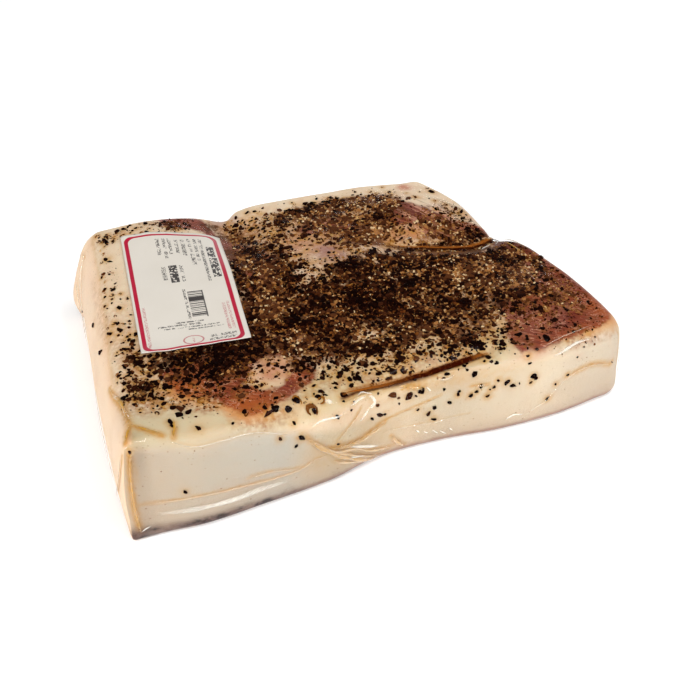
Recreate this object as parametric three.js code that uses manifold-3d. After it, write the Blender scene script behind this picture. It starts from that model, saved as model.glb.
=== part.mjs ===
// A slab of cured lardo, rubbed with coarse pepper and sealed in a tight clear shrink bag, with a paper label.
// Millimetres, +Z up. The origin is on the table under the middle of the slab. +X runs along the long front
// side, and +Y runs from the front side, where the label's foot is, to the back.
//
// The bag clings to the food, so the bag and what it holds are one solid: a rounded block whose sides follow the
// slab's uneven outline, whose top follows its muscle lobes and creases, and which carries the folds of the film
// and the larger peppercorn pieces as relief. The label is a thin sheet laid on the bag.

import * as THREE from "three";
import { mergeVertices } from "three/addons/utils/BufferGeometryUtils.js";
import Module from "manifold-3d";

const wasm = await Module();
wasm.setup();

// Driving dimensions of the slab

const LENGTH = 268; // the longest side, along X
const DEPTH = 187; // from front to back, along Y
const HALF_LENGTH = LENGTH / 2;
const HALF_DEPTH = DEPTH / 2;

// Height of the top at the four corners, before the muscle lobes are added
const HEIGHT = { frontLeft: 56.5, frontRight: 47.5, backLeft: 57.5, backRight: 47 };

// The four sides as seen from above. Each pair is a station along the side and where the side lies there.
const FRONT_SIDE = [
  [-134, -90.5], [-101.5, -96], [-69.5, -95], [-32.5, -92.5], [-4, -86.5], [29.5, -87.5], [64.5, -92.5],
  [100.5, -93.5], [134, -89.5],
];
const BACK_SIDE = [
  [-121.5, 96], [-76, 95.5], [-45.5, 92.5], [-28.5, 90], [-18, 95], [19, 96], [57, 95.5], [81, 95], [114, 90],
];
const LEFT_SIDE = [
  [-93, -135], [-80, -135.5], [-55, -133.5], [-33, -131.5], [-5, -128.5], [24.5, -124.5], [70.5, -118.5],
  [93, -117.5],
];
const RIGHT_SIDE = [
  [-93, 131], [-76, 136], [-38, 134], [-13.5, 128], [4, 120], [11.5, 114.5], [23, 112.5], [57, 110.5], [93, 97.5],
];

// The left side leans inwards above this share of its height: stations along it, and how far its top leans
const LEAN_FROM = 0.35;
const LEFT_LEAN = [[-93, 2], [-57, 5], [0, 7.5], [57, 9.5], [93, 10.5]];

// How far each edge is rounded: [station, across the top, down from the top], along the front side and the others
const FRONT_ROUNDING = [
  [-134, 5, 4], [-112, 7, 6], [-85.5, 11, 10], [-57, 14, 14], [-19, 9.5, 9.5], [57, 7.5, 7.5], [104.5, 9.5, 7.5],
  [134, 12.5, 8.5],
];
const OTHER_ROUNDING = [10.5, 11.5];
const CORNER_ROUNDING = { frontLeft: 0.5, others: 8.5 }; // of the upright edges, seen from above
const FOOT_ROUNDING = [4, 8.5]; // of the edge that meets the table: inwards, upwards
const FOOT_PRESSED = 1.4; // how much of the rounded foot is pressed flat on the table
const BULGE = 1.7; // how far the sides swell between top and foot

// Muscle lobes and hollows of the top: centre, reach along X and Y, and rise
const LOBES = [
  { name: "left lobe", at: [-89, 41.5], reach: [40, 59], rise: 3.5 },
  { name: "middle lobe", at: [0.5, 5.5], reach: [59, 49.5], rise: 5 },
  { name: "front lobe", at: [-64, -55.5], reach: [28.5, 19], rise: 2.5 },
  { name: "back right lobe", at: [69, 53], reach: [26.5, 23], rise: 4 },
  { name: "right lobe", at: [97.5, -44], reach: [24.5, 32.5], rise: 3 },
  { name: "groove beside the label", at: [-35.5, 68], reach: [13.5, 25.5], rise: -6.5 },
  { name: "dip beside the label", at: [-39.5, 41.5], reach: [11.5, 23], rise: -2 },
  { name: "hump under the label", at: [-85, 72], reach: [23, 21], rise: 3 },
  { name: "shoulder by the notch", at: [125, -0.5], reach: [15, 15], rise: 2.5 },
  { name: "dip over the film tuck", at: [-5, -78.5], reach: [15, 11.5], rise: -2 },
  { name: "front left corner", at: [-130.5, -84], reach: [19, 19], rise: 5 },
];

// Creases, where two muscles or a fold of fat meet: a soft valley with a sharp cut along its middle.
// Each cut is a V that is as wide and as deep as given.
const CREASES = [
  {
    name: "back crease",
    path: [[118, 14], [108, 12], [101, 9.5], [92, 8], [83, 9.5], [72, 13], [59, 17], [47, 23]],
    valley: { width: 8.5, depth: 3.2 },
    cut: { width: 2.6, depth: 2.8 },
  },
  {
    name: "front crease",
    path: [[-26, -86.5], [-17, -84.2], [-6, -83.6], [6, -84], [20, -84.4], [36, -84], [54, -83.2]],
    valley: { width: 5.7, depth: 1.9 },
    cut: { width: 2.4, depth: 3 },
  },
];

// Film corners pinched out past the food: centre, how far they are pushed, and their reach
const PINCHED_CORNERS = [
  { at: [-135.5, -90, 2], push: [-1.2, -1.6, 0], reach: 7 },
  { at: [132.5, -88.5, 5.5], push: [1.5, -1.5, 0], reach: 8.5 },
  { at: [-116.5, 95.5, 13.5], push: [-3.5, -1, 0], reach: 11.4 },
];

// Folds of film that stand proud of the sides and the top. On a side, a point is [along the side, height];
// on the top it is [x, y].
const FOLDS = [
  { face: "front", radius: 0.9, path: [[-129, 58], [-130, 46], [-131.5, 30], [-132.5, 8]] },
  { face: "left", radius: 0.9, path: [[-84, 55], [-80, 38], [-74, 21], [-65, 4]] },
  { face: "front", radius: 1.1, path: [[-48, 37], [-39, 26.5], [-31.5, 19], [-16.5, 7.5], [-6, 6.5]] },
  { face: "front", radius: 0.9, path: [[-30.5, 28], [-24.5, 33], [-17, 42]] },
  { face: "front", radius: 1, path: [[-27.5, 20], [-18.5, 19.5], [-9.5, 21], [1.5, 28]] },
  { face: "front", radius: 0.8, path: [[-16, 19.5], [0, 19.5], [20, 18.5], [42.5, 16]] },
  { face: "front", radius: 0.8, path: [[76, 11.5], [83.5, 17.5], [91.5, 25.5], [101, 32.5], [110.5, 31], [121.5, 27]] },
  { face: "front", radius: 0.9, path: [[-130, 25.5], [-107, 25.5], [-83, 22], [-52.5, 16.5], [-39, 19]] },
  { face: "top", radius: 0.9, path: [[-129, -82], [-117, -83], [-106, -85]] },
];

// Coarse pepper: how thickly it lies on the top, as patches of [x, y], reach and share, over a thin even scatter
const PEPPER_SHARE_EVERYWHERE = 0.1;
const PEPPER_PATCHES = [
  { at: [18, -16], reach: [67, 44], share: 1 },
  { at: [54, 36], reach: [40, 32], share: 0.8 },
  { at: [-20, 62], reach: [38, 23], share: 0.5 },
  { at: [-102, -46], reach: [23, 23], share: 0.9 },
  { at: [-37, -16], reach: [32, 38], share: 0.8 },
  { at: [-108, 41], reach: [10, 48], share: 0.35 },
];
const PEPPER = { onTop: 104, onFront: 18, onLeft: 4, smallest: 1.1, largest: 1.9, spacing: 5.4, sunk: 0.35 };
const PEPPER_SEED = 20417;

// The paper label, its place on the top, and its clearance over the film
const LABEL = { width: 54.5, length: 101, thickness: 0.4, gap: 0.55, at: [-73, 18.5], turn: -8.7 };

// Number of faces along X, Y and Z
const SLAB_FACES = [42, 30, 6];
const LABEL_FACES = [10, 18, 1];
const FOLD_STEPS = 7;

const COLOURS = {
  slab: new THREE.MeshStandardMaterial({ color: 0xd8c3a4, roughness: 0.3, metalness: 0 }),
  label: new THREE.MeshStandardMaterial({ color: 0xe9e4da, roughness: 0.55, metalness: 0 }),
};

// Numbers between 0 and 1 that are the same in every run
function seededRandom(seed) {
  let state = seed;
  return () => {
    state = (state * 1664525 + 1013904223) % 4294967296;
    return state / 4294967296;
  };
}

const mix = (a, b, share) => a + (b - a) * share;
const clamp = (value, low, high) => Math.min(Math.max(value, low), high);

// A smooth curve through stations of [place, value, ...], read at one place. `column` picks the value.
function through(stations, place, column = 1) {
  const last = stations.length - 1;
  const x = clamp(place, stations[0][0], stations[last][0]);
  let i = 0;
  while (i < last - 1 && x > stations[i + 1][0]) i += 1;
  const slope = (a, b) => (stations[b][column] - stations[a][column]) / (stations[b][0] - stations[a][0]);
  const span = stations[i + 1][0] - stations[i][0];
  const slopeIn = slope(Math.max(i - 1, 0), i + 1);
  const slopeOut = slope(i, Math.min(i + 2, last));
  const t = (x - stations[i][0]) / span;
  const [start, end] = [stations[i][column], stations[i + 1][column]];
  return (
    start * (1 + 2 * t) * (1 - t) ** 2 +
    end * t * t * (3 - 2 * t) +
    slopeIn * span * t * (1 - t) ** 2 +
    slopeOut * span * t * t * (t - 1)
  );
}

const bell = (x, y, at, reach) => Math.exp(-(((x - at[0]) / reach[0]) ** 2) - ((y - at[1]) / reach[1]) ** 2);

// Distance from a point to a crease's path, as seen from above
function distanceToPath(x, y, path) {
  let nearest = Infinity;
  for (let i = 0; i + 1 < path.length; i += 1) {
    const [ax, ay] = path[i];
    const [dx, dy] = [path[i + 1][0] - ax, path[i + 1][1] - ay];
    const t = clamp(((x - ax) * dx + (y - ay) * dy) / (dx * dx + dy * dy), 0, 1);
    nearest = Math.min(nearest, Math.hypot(x - ax - t * dx, y - ay - t * dy));
  }
  return nearest;
}

// Height of the top at [x, y]: the four corners, the lobes and the valleys along the creases
function topHeight(x, y) {
  const across = clamp(x / LENGTH + 0.5, 0, 1);
  const along = clamp(y / DEPTH + 0.5, 0, 1);
  let height = mix(
    mix(HEIGHT.frontLeft, HEIGHT.frontRight, across),
    mix(HEIGHT.backLeft, HEIGHT.backRight, across),
    along,
  );
  for (const lobe of LOBES) height += lobe.rise * bell(x, y, lobe.at, lobe.reach);
  for (const { path, valley } of CREASES) {
    const share = distanceToPath(x, y, path) / valley.width;
    height -= valley.depth * Math.exp(-share * share);
  }
  return height;
}

// A place of the plain block laid on the slab's outline: `x` and `y` are along its middle lines, and the sides
// are moved outwards by `swell` and the left one inwards by `lean`
function onOutline(x, y, swell = 0, lean = 0) {
  const left = through(LEFT_SIDE, y) - swell + lean;
  const right = through(RIGHT_SIDE, y) + swell;
  const front = through(FRONT_SIDE, x) - swell;
  const back = through(BACK_SIDE, x) + swell;
  return [mix(left, right, x / LENGTH + 0.5), mix(front, back, y / DEPTH + 0.5)];
}

// A point of the plain block [-1..1, -1..1, 0..1] moved on to the slab. The block's edges are rounded first, then
// its four sides are laid on the slab's outline.
function slabPoint(u, v, w) {
  const [x, y] = [u * HALF_LENGTH, v * HALF_DEPTH];
  const frontness = clamp(-v * 3 - 2, 0, 1);
  const isFrontLeft = frontness * clamp(-u * 6 - 5, 0, 1);
  const roundAcross = mix(OTHER_ROUNDING[0], through(FRONT_ROUNDING, x, 1), frontness);
  const roundDown = mix(OTHER_ROUNDING[1], through(FRONT_ROUNDING, x, 2), frontness);

  const height = topHeight(...onOutline(x, y));
  const z = mix(-FOOT_PRESSED, height, w);
  const upper = clamp(z / height, 0, 1);
  const ofCorner = mix(CORNER_ROUNDING.others, CORNER_ROUNDING.frontLeft, isFrontLeft);
  const inward = mix(FOOT_ROUNDING[0], roundAcross, upper) * 0.5 + ofCorner * 0.5;
  const core = new THREE.Vector3(
    clamp(x, inward - HALF_LENGTH, HALF_LENGTH - inward),
    clamp(y, inward - HALF_DEPTH, HALF_DEPTH - inward),
    clamp(z, FOOT_ROUNDING[1] - FOOT_PRESSED, height - roundDown),
  );
  const vertical = z < core.z ? FOOT_ROUNDING[1] : roundDown;
  const out = new THREE.Vector3((x - core.x) / inward, (y - core.y) / inward, (z - core.z) / vertical);
  if (out.lengthSq() > 0) out.normalize();
  const round = new THREE.Vector3(core.x + out.x * inward, core.y + out.y * inward, core.z + out.z * vertical);

  const share = clamp(round.z / height, 0, 1);
  const swell = BULGE * Math.sin(Math.PI * share);
  const lean = through(LEFT_LEAN, round.y) * clamp((share - LEAN_FROM) / (1 - LEAN_FROM), 0, 1) ** 1.5;
  const point = new THREE.Vector3(...onOutline(round.x, round.y, swell, lean), round.z);
  for (const { at, push, reach } of PINCHED_CORNERS) {
    const pull = Math.exp(-(point.distanceTo(new THREE.Vector3(...at)) ** 2) / reach ** 2);
    point.addScaledVector(new THREE.Vector3(...push), pull);
  }
  return point;
}

// The block coordinates whose slab point lies over plan position [x, y] on the top, by a few corrections
function onTop(x, y) {
  let [u, v] = [x / HALF_LENGTH, y / HALF_DEPTH];
  for (let i = 0; i < 8; i += 1) {
    const point = slabPoint(u, v, 1);
    u += (x - point.x) / HALF_LENGTH;
    v += (y - point.y) / HALF_DEPTH;
  }
  return slabPoint(u, v, 1);
}

// A point on a named face of the slab: [along the side, height] on a side and [x, y] on the top
function onFace(face, [along, other]) {
  if (face === "top") return onTop(along, other);
  const [x, y] = face === "front" ? [along, -HALF_DEPTH] : [-HALF_LENGTH, along];
  const w = (other + FOOT_PRESSED) / (topHeight(x, y) + FOOT_PRESSED);
  return slabPoint(x / HALF_LENGTH, y / HALF_DEPTH, w);
}

// A three.js geometry as a solid for joining and cutting
function toSolid(geometry) {
  const bare = geometry.clone();
  bare.deleteAttribute("normal");
  bare.deleteAttribute("uv");
  const merged = mergeVertices(bare, 1e-4);
  return new wasm.Manifold(
    new wasm.Mesh({
      numProp: 3,
      vertProperties: new Float32Array(merged.attributes.position.array),
      triVerts: new Uint32Array(merged.index.array),
    }),
  );
}

// A solid as a three.js geometry, with flat faces
function toGeometry(solid) {
  const mesh = solid.getMesh();
  const geometry = new THREE.BufferGeometry();
  geometry.setAttribute("position", new THREE.BufferAttribute(new Float32Array(mesh.vertProperties), 3));
  geometry.setIndex(new THREE.BufferAttribute(new Uint32Array(mesh.triVerts), 1));
  const flat = geometry.toNonIndexed();
  flat.computeVertexNormals();
  return flat;
}

// Moves every vertex of a geometry by a function from a Vector3 to a Vector3
function reshape(geometry, move) {
  const position = geometry.attributes.position;
  const vertex = new THREE.Vector3();
  for (let i = 0; i < position.count; i += 1) {
    vertex.fromBufferAttribute(position, i);
    const moved = move(vertex);
    position.setXYZ(i, moved.x, moved.y, moved.z);
  }
  return geometry;
}

// Places along an edge, from -1 to 1, with shorter faces towards both ends where the edges are rounded
const closerAtEnds = (share) => Math.sin(share * 1.18) / Math.sin(1.18);

// The slab without relief. Its foot is rounded to a little below the table and then cut flat there.
function slabBody() {
  const block = new THREE.BoxGeometry(2, 2, 1, ...SLAB_FACES);
  const rounded = toSolid(reshape(block, ({ x, y, z }) => slabPoint(closerAtEnds(x), closerAtEnds(y), z + 0.5)));
  const belowTable = new THREE.BoxGeometry(LENGTH * 2, DEPTH * 2, HEIGHT.backRight);
  return rounded.subtract(toSolid(belowTable.translate(0, 0, -HEIGHT.backRight / 2)));
}

// The corners of a regular shape on a circle of radius 1
function ring(sides) {
  const turns = Array.from({ length: sides }, (_, i) => (i * 2 * Math.PI) / sides);
  return turns.map((turn) => [Math.cos(turn), Math.sin(turn)]);
}

// A straight-sided bar with the given section, bent along a path
function bentBar(corners, path, steps) {
  const section = new THREE.Shape(corners.map(([x, y]) => new THREE.Vector2(x, y)));
  return toSolid(new THREE.ExtrudeGeometry(section, { steps, extrudePath: path }));
}

// The sharp cut along the middle of a crease
function creaseCut({ path, cut }) {
  const points = path.map(([x, y]) => onTop(x, y));
  const curve = new THREE.CatmullRomCurve3(points.map((p) => p.setZ(p.z - cut.depth * 0.1)));
  const corners = ring(4).map(([x, y]) => [x * cut.depth, (y * cut.width) / 2]);
  return bentBar(corners, curve, path.length * 2);
}

// A fold of film: a round ridge half sunk in the side that it runs over
function filmFold({ face, radius, path }) {
  const curve = new THREE.CatmullRomCurve3(path.map((place) => onFace(face, place)));
  return bentBar(ring(4).map(([x, y]) => [x * radius, y * radius]), curve, FOLD_STEPS);
}

// True where the label lies over [x, y], with a margin round it
function underLabel(x, y, margin) {
  const turn = THREE.MathUtils.degToRad(LABEL.turn);
  const [dx, dy] = [x - LABEL.at[0], y - LABEL.at[1]];
  const across = dx * Math.cos(turn) + dy * Math.sin(turn);
  const along = dy * Math.cos(turn) - dx * Math.sin(turn);
  return Math.abs(across) < LABEL.width / 2 + margin && Math.abs(along) < LABEL.length / 2 + margin;
}

function pepperShare(x, y) {
  let share = PEPPER_SHARE_EVERYWHERE;
  for (const patch of PEPPER_PATCHES) share += patch.share * bell(x, y, patch.at, patch.reach);
  return Math.min(share, 1);
}

// Places for the larger pepper pieces: drawn at random, kept by how thickly pepper lies there, and kept apart
function pepperPlaces(random) {
  const places = [];
  const isFree = (point) => places.every((other) => other.distanceTo(point) > PEPPER.spacing);
  const margin = PEPPER.largest + 1;
  const scatter = (count, draw) => {
    for (let tries = 0, kept = 0; kept < count && tries < count * 60; tries += 1) {
      const point = draw();
      if (!point || !isFree(point)) continue;
      places.push(point);
      kept += 1;
    }
  };
  scatter(PEPPER.onTop, () => {
    const [x, y] = [(random() - 0.5) * (LENGTH - 36), (random() - 0.5) * (DEPTH - 30)];
    const isBare = random() > pepperShare(x, y) || underLabel(x, y, margin);
    const inCrease = CREASES.some(({ path, cut }) => distanceToPath(x, y, path) < cut.width + PEPPER.largest);
    return isBare || inCrease || x < through(LEFT_SIDE, y) + 14 ? null : onTop(x, y);
  });
  scatter(PEPPER.onFront, () => onFace("front", [mix(-16, 118, random()), mix(12, 40, random())]));
  scatter(PEPPER.onLeft, () => onFace("left", [mix(-76, 76, random()), mix(18, 45, random())]));
  return places;
}

// A cracked piece of peppercorn: a lopsided twenty-sided lump, partly sunk in the film
function pepperPiece(place, random) {
  const radius = mix(PEPPER.smallest, PEPPER.largest, random() ** 2);
  const lump = new THREE.IcosahedronGeometry(radius, 0);
  lump.scale(mix(0.8, 1.2, random()), mix(0.7, 1, random()), mix(0.6, 0.9, random()));
  lump.rotateX(random() * Math.PI);
  lump.rotateZ(random() * Math.PI);
  lump.translate(place.x, place.y, place.z - radius * PEPPER.sunk);
  return toSolid(lump);
}

function makeSlab() {
  const random = seededRandom(PEPPER_SEED);
  const raised = [...FOLDS.map(filmFold), ...pepperPlaces(random).map((place) => pepperPiece(place, random))];
  const joined = raised.reduce((solid, piece) => solid.add(piece), slabBody());
  const cut = CREASES.reduce((solid, crease) => solid.subtract(creaseCut(crease)), joined);
  const whole = cut.decompose().sort((a, b) => b.volume() - a.volume())[0];
  const mesh = new THREE.Mesh(toGeometry(whole), COLOURS.slab);
  mesh.name = "sealed_slab";
  return mesh;
}

function makeLabel() {
  const turn = THREE.MathUtils.degToRad(LABEL.turn);
  const sheet = new THREE.BoxGeometry(LABEL.width, LABEL.length, LABEL.thickness, ...LABEL_FACES);
  reshape(sheet, (p) => {
    const x = LABEL.at[0] + p.x * Math.cos(turn) - p.y * Math.sin(turn);
    const y = LABEL.at[1] + p.x * Math.sin(turn) + p.y * Math.cos(turn);
    return new THREE.Vector3(x, y, onTop(x, y).z + LABEL.gap + LABEL.thickness / 2 + p.z);
  });
  sheet.computeVertexNormals();
  const mesh = new THREE.Mesh(sheet, COLOURS.label);
  mesh.name = "label";
  return mesh;
}

const pack = new THREE.Group();
pack.name = "sealed_lardo";
pack.add(makeSlab(), makeLabel());
const middle = new THREE.Box3().setFromObject(pack).getCenter(new THREE.Vector3());
pack.position.set(-middle.x, -middle.y, 0);

export default pack;
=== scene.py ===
"""The looks of a film-sealed slab of peppered lardo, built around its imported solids."""

import logging
import math
from dataclasses import dataclass, field
from enum import Enum
from typing import Callable, Optional, Sequence, Union

import bpy
import numpy as np
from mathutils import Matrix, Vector
from mathutils.bvhtree import BVHTree
from mathutils.kdtree import KDTree


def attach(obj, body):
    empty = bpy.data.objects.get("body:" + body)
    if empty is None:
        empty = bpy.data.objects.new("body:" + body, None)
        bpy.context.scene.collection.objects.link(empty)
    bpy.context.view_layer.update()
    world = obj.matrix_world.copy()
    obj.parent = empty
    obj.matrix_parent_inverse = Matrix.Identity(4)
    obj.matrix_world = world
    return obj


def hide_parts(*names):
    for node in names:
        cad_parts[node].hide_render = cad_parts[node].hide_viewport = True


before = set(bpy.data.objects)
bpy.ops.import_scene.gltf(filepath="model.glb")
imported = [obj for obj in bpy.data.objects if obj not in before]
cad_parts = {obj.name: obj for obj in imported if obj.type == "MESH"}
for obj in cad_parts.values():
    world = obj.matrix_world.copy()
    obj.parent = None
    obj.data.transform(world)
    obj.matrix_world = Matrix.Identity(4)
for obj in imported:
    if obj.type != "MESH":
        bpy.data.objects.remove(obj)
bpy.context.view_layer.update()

log = logging.getLogger("lardo")

MM = 0.001
SEED = 20417
ROOT = "root"
MIDDLE_SHIFT = (-0.104, 0.392, 0.0)
RAY_START = 400.0

Array = np.ndarray
Colour = tuple[float, float, float, float]
Box = tuple[float, float, float, float]
Stations = Sequence[Sequence[float]]
Profile = Sequence[tuple[float, float]]
Patch = tuple[float, float, float, float, float]


def tint(red: int, green: int, blue: int) -> Colour:
    """A colour as it reads on a screen, 0 to 255, turned into the shader's linear values.

    Args:
        red: Red on the screen.
        green: Green on the screen.
        blue: Blue on the screen.

    Returns:
        Linear red, green, blue and a full alpha.
    """

    def linear(value: int) -> float:
        """One channel's linear value."""
        share = value / 255
        return share / 12.92 if share <= 0.04045 else ((share + 0.055) / 1.055) ** 2.4

    return (linear(red), linear(green), linear(blue), 1.0)


def mix(a: Union[float, Array], b: Union[float, Array], share: Union[float, Array]) -> Union[float, Array]:
    """The value share of the way from a to b."""
    return a + (b - a) * share


def ease(value: Array, low: float, high: float) -> Array:
    """A soft step from 0 at low to 1 at high.

    Args:
        value: Where the step is read.
        low: Where it leaves 0.
        high: Where it reaches 1.

    Returns:
        The step's height at each value.
    """
    share = np.clip((value - low) / (high - low), 0.0, 1.0)
    return share * share * (3 - 2 * share)


def unit(vectors: Array) -> Array:
    """The vectors at a length of 1, and the zero vector as it is."""
    length = np.linalg.norm(vectors, axis=-1, keepdims=True)
    return np.divide(vectors, length, out=np.zeros_like(vectors), where=length > 1e-12)


def through(stations: Stations, place: Array, column: int = 1) -> Array:
    """A smooth curve through stations, flat beyond the first and the last.

    Args:
        stations: Rows of a place and the values there.
        place: Where the curve is read.
        column: Which value of a row the curve passes through.

    Returns:
        The curve's value at each place.
    """
    rows = np.asarray(stations, float)
    at, value = rows[:, 0], rows[:, column]
    last = len(at) - 1
    x = np.clip(place, at[0], at[-1])
    i = np.clip(np.searchsorted(at, x, side="left") - 1, 0, last - 1)
    before, after = np.maximum(i - 1, 0), np.minimum(i + 2, last)
    span = at[i + 1] - at[i]
    slope_in = (value[i + 1] - value[before]) / (at[i + 1] - at[before])
    slope_out = (value[after] - value[i]) / (at[after] - at[i])
    t = (x - at[i]) / span
    return (
        value[i] * (1 + 2 * t) * (1 - t) ** 2
        + value[i + 1] * t * t * (3 - 2 * t)
        + slope_in * span * t * (1 - t) ** 2
        + slope_out * span * t * t * (t - 1)
    )


def bell(x: Array, y: Array, at: Sequence[float], reach: Sequence[float]) -> Array:
    """A soft round hill of height 1 over a place, as wide as its reach on each axis."""
    return np.exp(-(((x - at[0]) / reach[0]) ** 2) - ((y - at[1]) / reach[1]) ** 2)


def distance_to_path(points: Array, path: Array) -> Array:
    """How far each point is from a line through the path's points, in any number of dimensions.

    Args:
        points: Places, one a row.
        path: The line's points in order, one a row.

    Returns:
        The shortest distance from each place.
    """
    nearest = np.full(len(points), 1e9)
    for start, end in zip(path[:-1], path[1:]):
        run = end - start
        share = np.clip((points - start) @ run / max(run @ run, 1e-9), 0, 1)
        nearest = np.minimum(nearest, np.linalg.norm(points - start - share[:, None] * run, axis=1))
    return nearest


def tree_of(points: Array) -> KDTree:
    """Sorts points so that those near a place are found quickly.

    Args:
        points: The points, one a row.

    Returns:
        The tree that finds them.
    """
    tree = KDTree(len(points))
    for i, point in enumerate(points):
        tree.insert(point, i)
    tree.balance()
    return tree


def inside_outline(points: Array, outline: Stations) -> Array:
    """How deep each place of the plan lies inside a closed outline.

    Args:
        points: Places of the plan, one a row.
        outline: The outline's corners in order.

    Returns:
        The distance to the outline, above 0 inside and below 0 outside.
    """
    corners = np.asarray(outline, float)
    ring = np.vstack([corners, corners[:1]])
    within = np.zeros(len(points), bool)
    for (ax, ay), (bx, by) in zip(ring[:-1], ring[1:]):
        crosses = (ay > points[:, 1]) != (by > points[:, 1])
        at = (bx - ax) * (points[:, 1] - ay) / (by - ay if by != ay else 1e-9) + ax
        within ^= crosses & (points[:, 0] < at)
    return np.where(within, 1.0, -1.0) * distance_to_path(points, ring)


def smooth_path(stations: Stations, step: float) -> Array:
    """Points evenly along a smooth curve through stations.

    Args:
        stations: Points that the curve passes, one a row.
        step: Distance from one point to the next.

    Returns:
        The curve's points, one a row.
    """
    rows = np.asarray(stations, float)
    run = np.concatenate([[0], np.cumsum(np.linalg.norm(np.diff(rows, axis=0), axis=1))])
    at = np.linspace(0, run[-1], max(3, int(run[-1] / step) + 1))
    table = np.column_stack([run, rows])
    return np.column_stack([through(table, at, 1 + i) for i in range(rows.shape[1])])


def soft_noise(points: Array, size: float, seed: int) -> Array:
    """Smooth noise between 0 and 1 over places of the plan.

    Args:
        points: Places, one a row, of which the first two columns are read.
        size: The distance between one bump and the next.
        seed: Picks one pattern of many.

    Returns:
        The noise at each place.
    """
    table = np.random.default_rng(seed).random((128, 128))
    scaled = points[:, :2] / size + 1000
    cell = np.floor(scaled).astype(int)
    t = scaled - cell
    t = t * t * (3 - 2 * t)
    i, j = cell[:, 0] % 128, cell[:, 1] % 128
    i2, j2 = (i + 1) % 128, (j + 1) % 128
    low = mix(table[i, j], table[i2, j], t[:, 0])
    high = mix(table[i, j2], table[i2, j2], t[:, 0])
    return mix(low, high, t[:, 1])


Input = Union["Level", float, tuple]


def maths(operation: str, swapped: bool = False) -> Callable[..., "Level"]:
    """An operator of Level, which adds one Math node.

    Args:
        operation: Blender's name of what the node does.
        swapped: Whether the level is the second value, not the first.

    Returns:
        The operator.
    """

    def operator(level: "Level", other: Input = 0.0) -> "Level":
        """The level and another value, joined by the node."""
        first, second = (other, level) if swapped else (level, other)
        return level.shader.node("ShaderNodeMath", {"operation": operation}, {0: first, 1: second})

    return operator


class Level:
    """A value on its way through a material's nodes. A comparison of two gives 1 where it holds, else 0."""

    def __init__(self, shader: "Shader", socket: Optional[bpy.types.NodeSocket]) -> None:
        """Wraps the output socket that carries the value."""
        self.shader = shader
        self.socket = socket

    __add__ = __radd__ = maths("ADD")
    __sub__, __rsub__ = maths("SUBTRACT"), maths("SUBTRACT", swapped=True)
    __mul__ = __rmul__ = maths("MULTIPLY")
    __truediv__ = maths("DIVIDE")
    __gt__, __lt__ = maths("GREATER_THAN"), maths("LESS_THAN")
    __abs__, floor = maths("ABSOLUTE"), maths("FLOOR")
    at_least, at_most = maths("MAXIMUM"), maths("MINIMUM")

    def root(self) -> "Level":
        """The square root of the value."""
        return maths("POWER")(self, 0.5)

    def step(self, low: float, high: float) -> "Level":
        """A soft step of the value from 0 at low to 1 at high."""
        inputs = {"Value": self, "From Min": low, "From Max": high}
        return self.shader.node("ShaderNodeMapRange", {"interpolation_type": "SMOOTHSTEP"}, inputs)


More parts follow.
